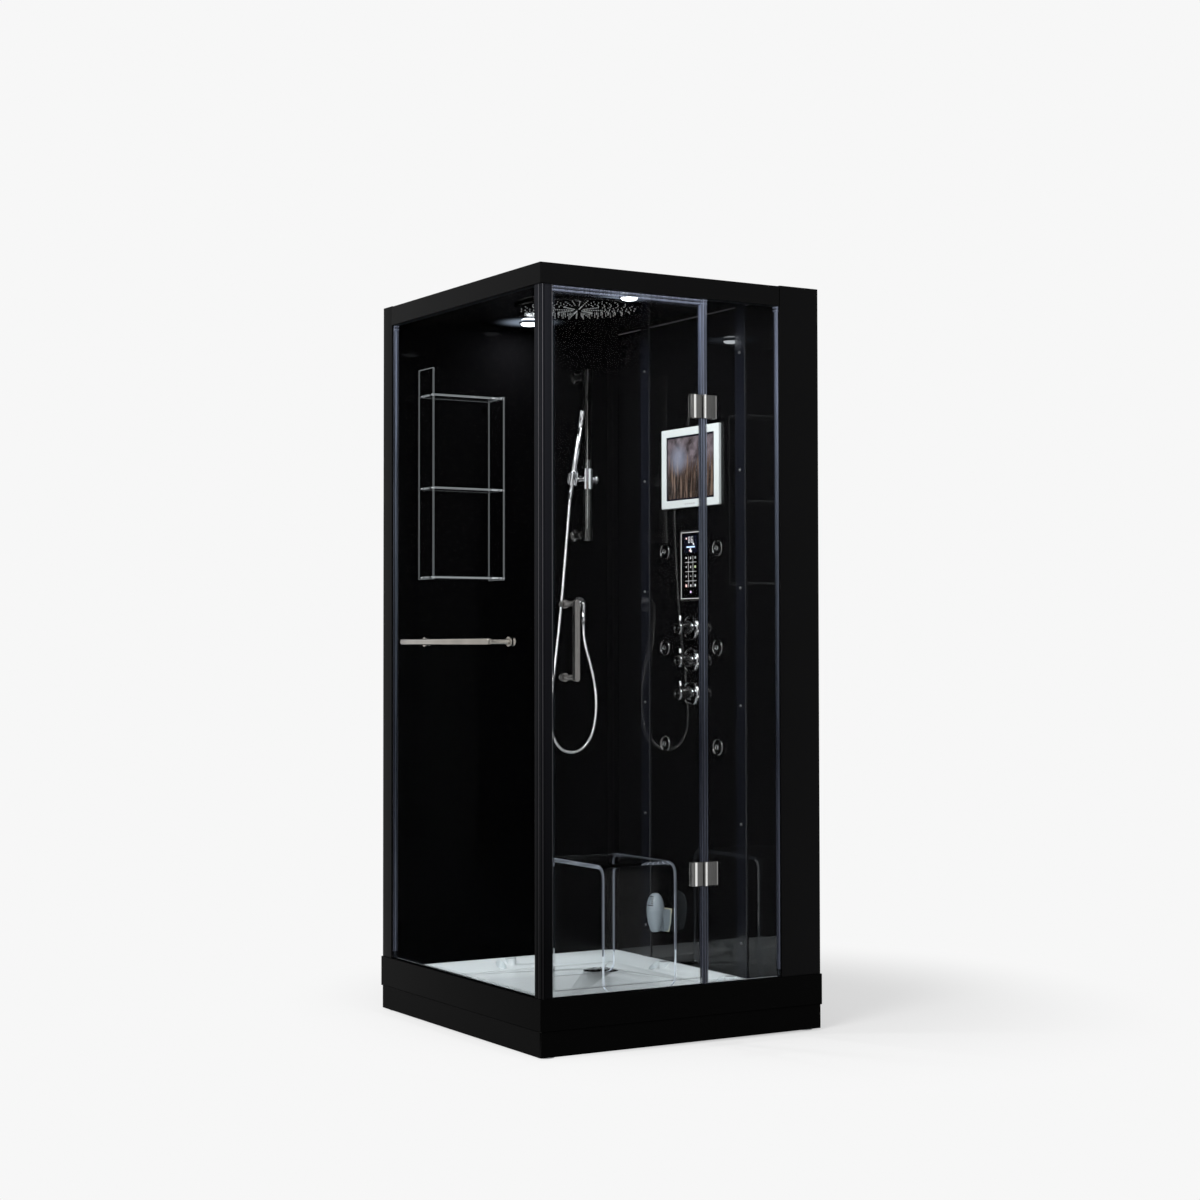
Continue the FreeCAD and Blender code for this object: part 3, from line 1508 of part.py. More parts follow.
def make_wall_outlet():
    centre = point(outlet_x, wall_y - fit_gap, outlet_height)
    r = outlet_plate_radius
    t = outlet_plate_thickness
    plate = turned([(0.0, 0.0), (r, 0.0), (r, -t + 2.0), (r - 2.0, -t), (0.0, -t)], centre, Y)
    p = outlet_pipe_radius
    bend_y = wall_y - outlet_reach
    arm = rod(outlet_x, bend_y, outlet_height, Y, p, outlet_reach - t)
    ball = Part.makeSphere(p, point(outlet_x, bend_y, outlet_height))
    nut_top = outlet_bottom + outlet_nut_length
    drop = rod(outlet_x, bend_y, nut_top - 1.0, Z, p, outlet_height - nut_top + 1.0)
    n = outlet_nut_radius
    nut = turned([(0.0, 0.0), (n - 2.0, 0.0), (n, 2.0), (n, outlet_nut_length - 2.0),
                  (n - 1.0, outlet_nut_length), (0.0, outlet_nut_length)],
                 point(outlet_x, bend_y, outlet_bottom), Z)
    return plate.fuse(arm).fuse(ball).fuse(drop).fuse(nut).removeSplitter()


# shelf unit and stool -----------------------------------------------------

def shelf_side(x, top):
    y1 = wall_y - fit_gap
    sheet = box(x, x + shelf_sheet, y1 - shelf_depth, y1, shelf_bottom, top)
    return rounded(sheet, 3.0, lambda e: runs_along(X)(e) and e.CenterOfMass.y < y1 - shelf_depth / 2)


def make_shelf_sides():
    left = shelf_side(shelf_left_x, shelf_left_top)
    right = shelf_side(shelf_left_x + shelf_width - shelf_sheet, shelf_right_top)
    return Part.makeCompound([left, right])


def make_shelf_plates():
    x0 = shelf_left_x + shelf_sheet + fit_gap
    x1 = shelf_left_x + shelf_width - shelf_sheet - fit_gap
    y1 = wall_y - fit_gap
    y0 = y1 - shelf_depth + shelf_plate_inset
    plates = [box(x0, x1, y0, y1, z, z + shelf_sheet) for z in shelf_levels]
    return Part.makeCompound(plates)


def stool_foot():
    return tray_floor + running_gap


def make_stool():
    y0 = stool_y
    y1 = stool_y + stool_depth
    z0 = stool_foot()
    z1 = stool_top
    r = stool_bend_radius
    t = stool_sheet
    outer = box(stool_x, stool_x + stool_width, y0, y1, z0, z1)
    outer = rounded(outer, r, lambda e: runs_along(X)(e) and e.CenterOfMass.z > z1 - 1.0)
    inner = box(stool_x - 1.0, stool_x + stool_width + 1.0, y0 + t, y1 - t, z0 - 1.0, z1 - t)
    inner = rounded(inner, r - t, lambda e: runs_along(X)(e) and e.CenterOfMass.z > z1 - t - 1.0)
    stool = outer.cut(inner)
    return rounded(stool, stool_corner_radius,
                   lambda e: runs_along(Y)(e) and e.CenterOfMass.z < z0 + 1.0)


# service equipment --------------------------------------------------------

def make_steam_generator():
    x0 = wall_back_x + 8.0
    z0 = base_top + rail_height
    y0 = generator_y
    body = box(x0, x0 + generator_width, y0, y0 + generator_length, z0 + 6.0,
               z0 + generator_height)
    body = rounded(body, generator_corner, runs_along(X))
    for y in (y0 + 40.0, y0 + generator_length - 40.0):
        body = body.fuse(box(x0 + 10.0, x0 + generator_width - 10.0, y - 12.0, y + 12.0,
                             z0, z0 + 7.0))
    p = steam_pipe_radius()
    x = x0 + generator_width / 2
    z = steam_seam - 30.0
    start = y0 + generator_length - 1.0
    body = body.fuse(rod(x, start, z, Y, p, steam_y + p + 3.0 - start))
    body = body.fuse(rod(wall_x + 29.0, steam_y, z, X, p - 0.5, x - wall_x - 29.0))
    return body.removeSplitter()


def make_pipework():
    x = wall_x + header_setback
    y = service_centre_y
    low = min(valve_heights) - 20.0
    high = max(valve_heights) + 20.0
    pipes = rod(x, y, low, Z, header_radius, high - low)
    for z in valve_heights:
        pipes = pipes.fuse(rod(wall_back_x + 0.05, y, z, X, valve_body_radius,
                               x - wall_back_x + 4.0))
    first, last = inlet_places()
    level = valve_heights[1]
    pipes = pipes.fuse(rod(x, first - 6.0, level, Y, header_radius, last - first + 12.0))
    for inlet in (first, last):
        pipes = pipes.fuse(rod(x, inlet, level, X, pipe_radius - 1.5, right_x - 1.0 - x))
        pipes = pipes.fuse(rod(right_x - inlet_thread, inlet, level, X, pipe_radius,
                               inlet_thread))
    return pipes.removeSplitter()


makers = {
    "base_frame": make_base_frame,
    "levelling_feet": make_levelling_feet,
    "base_band": make_base_band,
    "skirts": make_skirts,
    "tray": make_tray,
    "drain_trap": make_drain_trap,
    "drain_cover": make_drain_cover,
    "corner_post": make_corner_post,
    "left_wall_end": make_left_wall_end,
    "service_front": make_service_front,
    "back_corner_trim": make_back_corner_trim,
    "left_wall_panel": make_left_wall_panel,
    "left_wall_frame": make_left_wall_frame,
    "service_frame": make_service_frame,
    "rear_sheets": make_rear_sheets,
    "service_panels": make_service_panels,
    "service_trims": make_service_trims,
    "roof_frame": make_roof_frame,
    "roof_cover": make_roof_cover,
    "ceiling_panel": make_ceiling_panel,
    "rain_head": make_rain_head,
    "led_spots": make_led_spots,
    "side_glass": make_side_glass,
    "fixed_glass": make_fixed_glass,
    "pane_seals": make_pane_seals,
    "hinge_fixed_leaves": make_hinge_fixed_leaves,
    "hinge_door_leaves": make_hinge_door_leaves,
    "door_glass": make_door_glass,
    "door_seals": make_door_seals,
    "door_handle": make_door_handle,
    "towel_rail": make_towel_rail,
    "tv_housing": make_tv_housing,
    "tv_screen": make_tv_screen,
    "control_frame": make_control_frame,
    "control_glass": make_control_glass,
    "valve_plates": make_valve_plates,
    "jet_housings": make_jet_housings,
    "steam_cup": make_steam_cup,
    "steam_dome": make_steam_dome,
    "slide_rail": make_slide_rail,
    "rail_slider": make_rail_slider,
    "lock_knob": make_lock_knob,
    "shower_holder": make_shower_holder,
    "hand_shower": make_hand_shower,
    "shower_hose": make_shower_hose,
    "wall_outlet": make_wall_outlet,
    "shelf_sides": make_shelf_sides,
    "shelf_plates": make_shelf_plates,
    "stool": make_stool,
    "steam_generator": make_steam_generator,
    "pipework": make_pipework,
}

pieces = {name: make() for name, make in makers.items()}
for number, height in enumerate(valve_heights, start=1):
    pieces["valve_knob_%d" % number] = make_valve_knob(height)
for number, (y, z) in enumerate(jet_places(), start=1):
    pieces["jet_nozzle_%d" % number] = make_jet_nozzle(y, z)

os.makedirs("parts", exist_ok=True)
for name, shape in pieces.items():
    shape.exportStep("parts/%s.step" % name)
print(len(pieces), "nodes")
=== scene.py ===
import json
import math
import bpy
import bmesh
from mathutils import Matrix, Vector
from mathutils.bvhtree import BVHTree


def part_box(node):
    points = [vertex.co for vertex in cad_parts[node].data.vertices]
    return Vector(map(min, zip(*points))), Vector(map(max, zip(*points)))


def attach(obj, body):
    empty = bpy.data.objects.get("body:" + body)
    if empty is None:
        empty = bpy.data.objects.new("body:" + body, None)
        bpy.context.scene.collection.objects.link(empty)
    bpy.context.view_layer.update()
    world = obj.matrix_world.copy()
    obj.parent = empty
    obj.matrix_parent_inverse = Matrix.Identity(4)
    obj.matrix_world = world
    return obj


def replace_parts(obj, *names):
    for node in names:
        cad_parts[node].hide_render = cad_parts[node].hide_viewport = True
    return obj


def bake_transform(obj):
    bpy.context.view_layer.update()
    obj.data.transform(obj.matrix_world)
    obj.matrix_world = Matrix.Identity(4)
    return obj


# Steam shower cabin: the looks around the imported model. All lengths are in metres.

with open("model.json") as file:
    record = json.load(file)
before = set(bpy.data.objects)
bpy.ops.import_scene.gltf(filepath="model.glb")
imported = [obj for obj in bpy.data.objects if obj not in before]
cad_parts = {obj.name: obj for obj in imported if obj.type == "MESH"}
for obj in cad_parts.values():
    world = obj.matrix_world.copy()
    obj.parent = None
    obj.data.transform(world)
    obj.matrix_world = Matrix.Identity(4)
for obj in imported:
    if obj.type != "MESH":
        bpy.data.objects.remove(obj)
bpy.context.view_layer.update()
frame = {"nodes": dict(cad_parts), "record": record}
scene = bpy.context.scene
record = frame["record"]
bodyOf = {node: body for body, nodes in record["behaviour"]["bodies"].items() for node in nodes}
intoRoom = Vector((-1, 0, 0))
upward = Vector((0, 0, 1))


# short calls for shader nodes

def add(tree, kind, inputs=(), **settings):
    # a node with its settings; its inputs, by place or by label, are linked or set
    node = tree.nodes.new("ShaderNode" + kind)
    for label, value in settings.items():
        setattr(node, label, value)
    for key, value in inputs.items() if isinstance(inputs, dict) else enumerate(inputs):
        if isinstance(value, bpy.types.NodeSocket):
            tree.links.new(value, node.inputs[key])
        else:
            node.inputs[key].default_value = value
    return node


def calc(tree, operation, *values, clamp=False):
    return add(tree, "Math", values, operation=operation, use_clamp=clamp).outputs[0]


def scaled(tree, color, factor):
    return add(tree, "VectorMath", {0: color, "Scale": factor}, operation="SCALE").outputs[0]


def stretched(tree, vector, factors):
    return add(tree, "VectorMath", (vector, factors), operation="MULTIPLY").outputs[0]


def distance(tree, first, second):
    return add(tree, "VectorMath", (first, second), operation="DISTANCE").outputs["Value"]


def noise(tree, vector, scale, detail):
    return add(tree, "TexNoise", {"Vector": vector, "Scale": scale,
                                  "Detail": detail}).outputs["Fac"]


def mixed(tree, factor, first, second):
    return add(tree, "Mix", {"Factor": factor, "A": first, "B": second},
               data_type="RGBA").outputs["Result"]


def ranged(tree, value, low, high, start=0, end=1, kind="LINEAR"):
    return add(tree, "MapRange", {"Value": value, "From Min": low, "From Max": high,
                                  "To Min": start, "To Max": end},
               interpolation_type=kind).outputs[0]


def ramped(tree, factor, stops):
    # stops of (position, colour) in their order; the two ends take the ramp's own stops
    node = add(tree, "ValToRGB", (factor,))
    elements = node.color_ramp.elements
    for index, (position, color) in enumerate([stops[0], stops[-1], *stops[1:-1]]):
        stop = elements[index] if index < 2 else elements.new(position)
        stop.position = position
        stop.color = (*color, 1)
    return node.outputs[0]


def coordinate(tree, kind="Object"):
    return add(tree, "TexCoord").outputs[kind]


def axisValue(tree, axis):
    return add(tree, "SeparateXYZ", (coordinate(tree),)).outputs[axis]


def seenDirectly(tree):
    # 1 for what the camera sees straight, in a mirror or through glass
    path = add(tree, "LightPath").outputs
    seen = calc(tree, "MAXIMUM", path["Is Camera Ray"], path["Is Glossy Ray"])
    return calc(tree, "MAXIMUM", seen, path["Is Transmission Ray"])


def clearTree(owner):
    owner.use_nodes = True
    owner.node_tree.nodes.clear()
    return owner.node_tree


# camera, floor and light

camera = {
    "place": (-3.613, -5.686, 1.1616), "lens": 64.12, "tilt": 91.57, "turn": -29.58,
    "shiftX": 0.0929, "shiftY": -0.0089, "sensor": 36, "clipEnd": 60,
}


def addCamera():
    data = bpy.data.cameras.new("viewCamera")
    data.sensor_width = camera["sensor"]
    data.lens = camera["lens"]
    data.shift_x = camera["shiftX"]
    data.shift_y = camera["shiftY"]
    data.clip_end = camera["clipEnd"]
    eye = bpy.data.objects.new("viewCamera", data)
    eye.location = camera["place"]
    eye.rotation_euler = (math.radians(camera["tilt"]), 0, math.radians(camera["turn"]))
    scene.collection.objects.link(eye)
    scene.camera = eye


studio = {
    "paper": (0.93, 0.93, 0.93, 1), "worldLight": 0.42,
    "key": {"place": (-4.4, -2.6, 4.4), "aim": (0, 0, 0.9), "size": 2.2, "power": 150},
    "fill": {"place": (0.6, -5.6, 4.4), "aim": (0, 0, 0.9), "size": 2.2, "power": 70},
    "top": {"place": (-0.8, -0.6, 5.4), "aim": (0, 0, 0), "size": 3.0, "power": 60},
    "spotPower": 5.0, "spotSize": 0.045, "spotDrop": 0.012,
    "floorRadius": 22, "floorDrop": 0.0005, "floorTone": (0.86, 0.86, 0.86, 1),
    "floorGlow": 0.5, "fadeCentre": (0.55, 0.1, 0), "fade": (0.5, 1.5),
}


def addWorld():
    world = bpy.data.worlds.new("paleStudio")
    scene.world = world
    tree = clearTree(world)
    lit = add(tree, "Background", {"Color": (1, 1, 1, 1), "Strength": studio["worldLight"]})
    paper = add(tree, "Background", {"Color": studio["paper"], "Strength": 1})
    mix = add(tree, "MixShader", (seenDirectly(tree), lit.outputs[0], paper.outputs[0]))
    add(tree, "OutputWorld", {"Surface": mix.outputs[0]})


def addFloor():
    bm = bmesh.new()
    bmesh.ops.create_circle(bm, cap_ends=True, segments=64, radius=studio["floorRadius"])
    mesh = bpy.data.meshes.new("studioFloor")
    bm.to_mesh(mesh)
    bm.free()
    floor = bpy.data.objects.new("studioFloor", mesh)
    floor.location = (0, 0, -studio["floorDrop"])
    scene.collection.objects.link(floor)
    finish = bpy.data.materials.new("paperFloor")
    tree = clearTree(finish)
    away = distance(tree, coordinate(tree), studio["fadeCentre"])
    fade = ranged(tree, away, *studio["fade"], studio["floorGlow"], 1, "SMOOTHSTEP")
    shown = calc(tree, "MULTIPLY", fade, seenDirectly(tree))
    matt = add(tree, "BsdfDiffuse", {"Color": studio["floorTone"]})
    glow = add(tree, "Emission", {"Color": studio["paper"]})
    mix = add(tree, "MixShader", (shown, matt.outputs[0], glow.outputs[0]))
    add(tree, "OutputMaterial", {"Surface": mix.outputs[0]})
    floor.data.materials.append(finish)


def addAreaLamp(name, place, aim, size, power):
    data = bpy.data.lights.new(name, "AREA")
    data.shape = "DISK"
    data.size = size
    data.energy = power
    lamp = bpy.data.objects.new(name, data)
    lamp.location = place
    lamp.rotation_euler = (Vector(aim) - Vector(place)).to_track_quat("-Z", "Y").to_euler()
    scene.collection.objects.link(lamp)
    return lamp


def spotCentres():
    # middles of the faces of the two ceiling spots
    low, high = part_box("led_spots")
    half = (high.x - low.x) / 2
    return [Vector((low.x + half, y, low.z)) for y in (low.y + half, high.y - half)]


def addLamps():
    for name in ("key", "fill", "top"):
        addAreaLamp(name + "Lamp", **studio[name])
    # the two ceiling spots really light the tray below them
    for number, centre in enumerate(spotCentres()):
        spot = addAreaLamp("ceilingSpot%d" % number, centre - upward * studio["spotDrop"],
                           (centre.x, centre.y, 0), studio["spotSize"], studio["spotPower"])
        spot.visible_camera = False
        spot.visible_glossy = False
        spot.visible_transmission = False
    scene.view_settings.view_transform = "Standard"


addCamera()
addWorld()
addFloor()
addLamps()
print("camera and studio ready")


# node groups: they give only colours, masks and values

def newGroup(name, inputs, outputs):
    group = bpy.data.node_groups.new(name, "ShaderNodeTree")
    for kind, label, value in inputs:
        socket = group.interface.new_socket(label, in_out="INPUT", socket_type="NodeSocket" + kind)
        socket.default_value = value
    for kind, label in outputs:
        group.interface.new_socket(label, in_out="OUTPUT", socket_type="NodeSocket" + kind)
    start = group.nodes.new("NodeGroupInput")
    end = group.nodes.new("NodeGroupOutput")
    return group, start.outputs, end.inputs


def surfaceVariationGroup():
    # slow drift of tone and gloss, with fine specks for the bump
    group, start, end = newGroup(
        "surfaceVariation",
        [("Color", "Color", (0.5, 0.5, 0.5, 1)), ("Float", "Tone Drift", 0.1),
         ("Float", "Roughness", 0.4), ("Float", "Roughness Drift", 0.1),
         ("Float", "Patch Scale", 4.0), ("Float", "Speck Scale", 900.0)],
        [("Color", "Color"), ("Float", "Roughness"), ("Float", "Height")])
    place = coordinate(group)
    patch = noise(group, place, start["Patch Scale"], 4)
    centred = calc(group, "SUBTRACT", patch, 0.5)
    tone = calc(group, "MULTIPLY_ADD", centred, start["Tone Drift"], 1)
    gloss = calc(group, "MULTIPLY_ADD", centred, start["Roughness Drift"], start["Roughness"],
                 clamp=True)
    group.links.new(scaled(group, start["Color"], tone), end["Color"])
    group.links.new(gloss, end["Roughness"])
    group.links.new(noise(group, place, start["Speck Scale"], 2), end["Height"])
    return group


def brushedLinesGroup():
    # fine lines along one axis: the stretch is small along the brushing
    group, start, end = newGroup(
        "brushedLines",
        [("Vector", "Stretch", (1, 1, 1)), ("Float", "Roughness", 0.3), ("Float", "Spread", 0.2)],
        [("Float", "Roughness"), ("Float", "Height")])
    lines = noise(group, stretched(group, coordinate(group), start["Stretch"]), 1, 3)
    centred = calc(group, "SUBTRACT", lines, 0.5)
    rough = calc(group, "MULTIPLY_ADD", centred, start["Spread"], start["Roughness"], clamp=True)
    group.links.new(rough, end["Roughness"])
    group.links.new(lines, end["Height"])
    return group


def edgeHighlightGroup():
    # mask of a painted edge highlight: full on the eased arrises of a sheet's edges, dimmer on the
    # flat of the edge
    group, start, end = newGroup("edgeHighlights", [("Vector", "Axes", (0, 0, 1))],
                                 [("Float", "Mask")])
    sideways = stretched(group, coordinate(group, "Normal"), start["Axes"])
    size = add(group, "VectorMath", (sideways,), operation="LENGTH").outputs["Value"]
    stops = ((0.2, 0.0), (0.5, 1.0), (0.85, 1.0), (0.95, 0.32), (1.0, 0.3))
    mask = ramped(group, size, [(position, (level,) * 3) for position, level in stops])
    group.links.new(mask, end["Mask"])
    return group


def heightToneGroup():
    # 0 at the low level to 1 at the high one, as the ceiling spots light the upper part more
    group, start, end = newGroup("heightTone", [("Float", "Low", 0.9), ("Float", "High", 2.15)],
                                 [("Float", "Factor")])
    factor = ranged(group, axisValue(group, "Z"), start["Low"], start["High"])
    group.links.new(factor, end["Factor"])
    return group


variation = surfaceVariationGroup()
brushed = brushedLinesGroup()
edgeHighlights = edgeHighlightGroup()
heightTone = heightToneGroup()


# finishes, each kept under its name

finishes = {}


def startMaterial(name, values):
    finishes[name] = bpy.data.materials.new(name)
    tree = clearTree(finishes[name])
    shader = add(tree, "BsdfPrincipled", values)
    add(tree, "OutputMaterial", {"Surface": shader.outputs[0]})
    return tree, shader


def addGroup(tree, group, **values):
    labelled = {label.replace("_", " "): value for label, value in values.items()}
    return add(tree, "Group", labelled, node_tree=group).outputs


def dress(tree, shader, color, roughness, height, bump, depth=0.0004):
    # colour, gloss and bump of a finish
    tree.links.new(color, shader.inputs["Base Color"])
    tree.links.new(roughness, shader.inputs["Roughness"])
    raised = add(tree, "Bump", {"Strength": bump, "Distance": depth, "Height": height})
    tree.links.new(raised.outputs[0], shader.inputs["Normal"])


def variedMaterial(name, color, roughness, toneDrift, metallic=0.0, specular=0.5, coat=0.0,
                   roughnessDrift=0.1, patch=4.0, speck=900.0, bump=0.04):
    tree, shader = startMaterial(name, {
        "Metallic": metallic, "Specular IOR Level": specular, "Coat Weight": coat,
        "Coat Roughness": 0.05})
    drift = addGroup(tree, variation, Color=(*color, 1), Tone_Drift=toneDrift,
                     Roughness=roughness, Roughness_Drift=roughnessDrift, Patch_Scale=patch,
                     Speck_Scale=speck)
    dress(tree, shader, drift["Color"], drift["Roughness"], drift["Height"], bump)
    return tree, shader


def brushedMaterial(name, color, roughness, stretch, toneDrift, patch=14.0):
    tree, shader = startMaterial(name, {"Metallic": 1})
    tone = addGroup(tree, variation, Color=(*color, 1), Tone_Drift=toneDrift,
                    Roughness=roughness, Roughness_Drift=0.05, Patch_Scale=patch,
                    Speck_Scale=600.0)
    lines = addGroup(tree, brushed, Stretch=stretch, Roughness=roughness, Spread=0.25)
    dress(tree, shader, tone["Color"], lines["Roughness"], lines["Height"], 0.08, 0.0003)


def paneMaterial(name, tint, edgeTintAndGlow, axes, ior, edgeHighlightGlow=0.12):
    # clear sheet with tinted edges that also glow as a painted highlight; rays from lamps go
    # straight through it
    tree, shader = startMaterial(name, {
        "Transmission Weight": 1, "IOR": ior, "Roughness": 0.0, "Emission Strength": edgeHighlightGlow})
    mask = addGroup(tree, edgeHighlights, Axes=axes)["Mask"]
    tree.links.new(mixed(tree, mask, (*tint, 1), (*edgeTintAndGlow, 1)), shader.inputs["Base Color"])
    # painted highlight: the edge tint also glows where the mask is
    tree.links.new(mixed(tree, mask, (0, 0, 0, 1), (*edgeTintAndGlow, 1)),
                   shader.inputs["Emission Color"])
    path = add(tree, "LightPath").outputs
    through = calc(tree, "MAXIMUM", path["Is Shadow Ray"], path["Is Diffuse Ray"])
    clear = add(tree, "BsdfTransparent", {"Color": (1, 1, 1, 1)})
    output = shader.outputs[0].links[0].to_node
    mix = add(tree, "MixShader", (through, shader.outputs[0], clear.outputs[0]))
    tree.links.new(mix.outputs[0], output.inputs["Surface"])


sealShine = {
    # door joint: its middle, half width, where its outer painted highlight lines begin, its middle
    # painted line
    "joint": 0.0725, "half": 0.0102, "lineFrom": 0.0084, "centre": 0.0006, "centreHalf": 0.0012,
    # painted upright highlight lines at the two wall ends, and the band at the top with its two
    # painted lines
    "right": 0.3462, "left": 0.4322, "uprightHalf": 0.0016,
    "top": 2.1835, "topLines": ((2.1963, 0.0012), (2.1862, 0.0008)),
    # clear below this level, beside the joint
    "from": 0.193,
    # how much each part covers
    "strip": 0.72, "band": 0.35, "line": 0.9, "clear": 0.04,
    # painted highlight streaks, and painted tones that brighten from the bottom towards the
    # ceiling spots
    "streaks": (420, 420, 2.5),
    "tones": ((0.0, (0.05, 0.055, 0.075)), (0.12, (0.045, 0.05, 0.068)),
              (0.35, (0.022, 0.025, 0.036)), (0.6, (0.062, 0.072, 0.094)),
              (0.82, (0.105, 0.12, 0.16)), (0.95, (0.19, 0.215, 0.29)),
              (1.0, (0.26, 0.29, 0.38))),
}


def sealMaterial():
    # soft clear vinyl with painted highlights: fine bright lines beside the door joint, at the top
    # and at the wall ends, painted streaks, and painted light towards the ceiling spots; it lies
    # clear elsewhere
    tree, shader = startMaterial("vinylSeal", {
        "Roughness": 0.2, "Specular IOR Level": 0.1})
    place = coordinate(tree)
    x, y, z = add(tree, "SeparateXYZ", (place,)).outputs

    def most(*values):
        result = values[0]
        for value in values[1:]:
            result = calc(tree, "MAXIMUM", result, value)
        return result

    def near(value, spot, reach):
        return calc(tree, "COMPARE", value, spot, reach)
    aside = calc(tree, "ABSOLUTE", calc(tree, "SUBTRACT", x, sealShine["joint"]))
    half, first = sealShine["half"], sealShine["lineFrom"]
    strip = calc(tree, "LESS_THAN", aside, half)
    band = calc(tree, "GREATER_THAN", z, sealShine["top"])
    lines = most(near(aside, (half + first) / 2, (half - first) / 2),
                 near(aside, sealShine["centre"], sealShine["centreHalf"]),
                 near(x, sealShine["right"], sealShine["uprightHalf"]),
                 near(y, sealShine["left"], sealShine["uprightHalf"]),
                 *(near(z, level, reach) for level, reach in sealShine["topLines"]))
    cover = most(calc(tree, "MULTIPLY", strip, sealShine["strip"]),
                 calc(tree, "MULTIPLY", band, sealShine["band"]),
                 calc(tree, "MULTIPLY", lines, sealShine["line"]))
    shown = most(calc(tree, "GREATER_THAN", z, sealShine["from"]), strip)
    cover = most(calc(tree, "MULTIPLY", cover, shown), sealShine["clear"])
    tree.links.new(cover, shader.inputs["Alpha"])
    spread = add(tree, "Mapping", {"Vector": place, "Scale": sealShine["streaks"]})
    streaks = ranged(tree, noise(tree, spread.outputs[0], 1, 1), 0.35, 0.65, 0.5, 1.5)
    # painted light: the tone rises with height; the streaks and the lines are painted highlights
    height = addGroup(tree, heightTone, Low=0.17, High=2.2)["Factor"]
    highlightGain = calc(tree, "MULTIPLY", streaks, calc(tree, "MULTIPLY_ADD", lines, 1.1, 0.5))
    tree.links.new(scaled(tree, ramped(tree, height, sealShine["tones"]), highlightGain),
                   shader.inputs["Base Color"])


def bandRamp(tree, factor, stops):
    return ramped(tree, factor, [(position, (level, level, level * 0.98))
                                 for position, level in stops])


def highlightBandedMetal(name, span, stops, above=None, stopsAbove=None):
    # brushed metal with painted highlights and reflections: light and dark bands that follow its
    # width along x, with other bands above a given level
    tree, shader = startMaterial(name, {"Metallic": 1})
    width = ranged(tree, axisValue(tree, "X"), *span)
    color = bandRamp(tree, width, stops)
    if above:
        upper = calc(tree, "GREATER_THAN", axisValue(tree, "Z"), above)
        color = mixed(tree, upper, color, bandRamp(tree, width, stopsAbove))
    lines = addGroup(tree, brushed, Stretch=(900, 900, 14), Roughness=0.26, Spread=0.25)
    tone = addGroup(tree, variation, Color=color, Tone_Drift=0.2, Roughness=0.26,
                    Roughness_Drift=0.05, Patch_Scale=26.0, Speck_Scale=600.0)
    dress(tree, shader, tone["Color"], lines["Roughness"], lines["Height"], 0.08, 0.0003)


def paintedReflectionChrome(name, dark, bright, share=0.5, scale=2.6):
    # polished metal with painted reflections: pools of painted dark and thin painted highlights
    # that follow its curvature, and a painted bright rim
    tree, shader = startMaterial(name, {"Metallic": 1})
    paintedPools = ramped(tree, noise(tree, coordinate(tree, "Normal"), scale, 1.5),
                   ((share - 0.03, dark), (share + 0.04, bright)))
    tone = addGroup(tree, variation, Color=paintedPools, Tone_Drift=0.1, Roughness=0.06,
                    Roughness_Drift=0.04, Patch_Scale=30.0, Speck_Scale=900.0)
    facing = add(tree, "LayerWeight", {"Blend": 0.25}).outputs["Facing"]
    paintedRim = ranged(tree, facing, 0.45, 0.85)
    color = mixed(tree, paintedRim, tone["Color"], (*bright, 1))
    dress(tree, shader, color, tone["Roughness"], tone["Height"], 0.004)


def hoseMaterial():
    # ribbed steel with a painted sheen: bright seen straight on, darker towards its outline
    tree, shader = startMaterial("hoseSteel", {"Metallic": 1})
    tone = addGroup(tree, variation, Color=(0.16, 0.16, 0.17, 1), Tone_Drift=0.06,
                    Roughness=0.22, Roughness_Drift=0.04, Patch_Scale=30.0, Speck_Scale=900.0)
    facing = add(tree, "LayerWeight", {"Blend": 0.35}).outputs["Facing"]
    color = mixed(tree, facing, (0.6, 0.6, 0.61, 1), tone["Color"])
    dress(tree, shader, color, tone["Roughness"], tone["Height"], 0.004)


def upperLitMaterial(name, low, high, roughness, specular):
    # dark coated metal with painted light: lighter towards the top, where the ceiling spots shine
    tree, shader = startMaterial(name, {"Specular IOR Level": specular})
    height = addGroup(tree, heightTone, Low=0.3, High=2.15)["Factor"]
    tone = addGroup(tree, variation, Color=mixed(tree, height, (*low, 1), (*high, 1)),
                    Tone_Drift=0.2, Roughness=roughness, Roughness_Drift=0.08,
                    Patch_Scale=5.0, Speck_Scale=1600.0)
    dress(tree, shader, tone["Color"], tone["Roughness"], tone["Height"], 0.03)


def glowMaterial(name, color, strength):
    tree, shader = startMaterial(name, {
        "Roughness": 0.35, "Base Color": (0.8, 0.8, 0.8, 1), "Emission Strength": strength})
    tone = addGroup(tree, variation, Color=(*color, 1), Tone_Drift=0.1, Roughness=0.35,
                    Roughness_Drift=0.05, Patch_Scale=60.0, Speck_Scale=2000.0)
    tree.links.new(tone["Color"], shader.inputs["Emission Color"])


def ceilingMaterial():
    # gloss black, with a painted glow of light round the two spots
    tree, shader = variedMaterial("ceilingBlack", (0.0028, 0.0028, 0.003), 0.05, specular=0.3,
                                  toneDrift=0.3, roughnessDrift=0.04, bump=0.0)
    place = coordinate(tree)
    least = calc(tree, "MINIMUM", *(distance(tree, place, centre) for centre in spotCentres()))
    fade = ranged(tree, least, 0.03, 0.16, 1, 0, "SMOOTHERSTEP")
    glow = mixed(tree, calc(tree, "POWER", fade, 3), (0, 0, 0, 1), (0.2, 0.24, 0.3, 1))
    tree.links.new(glow, shader.inputs["Emission Color"])
    shader.inputs["Emission Strength"].default_value = 1


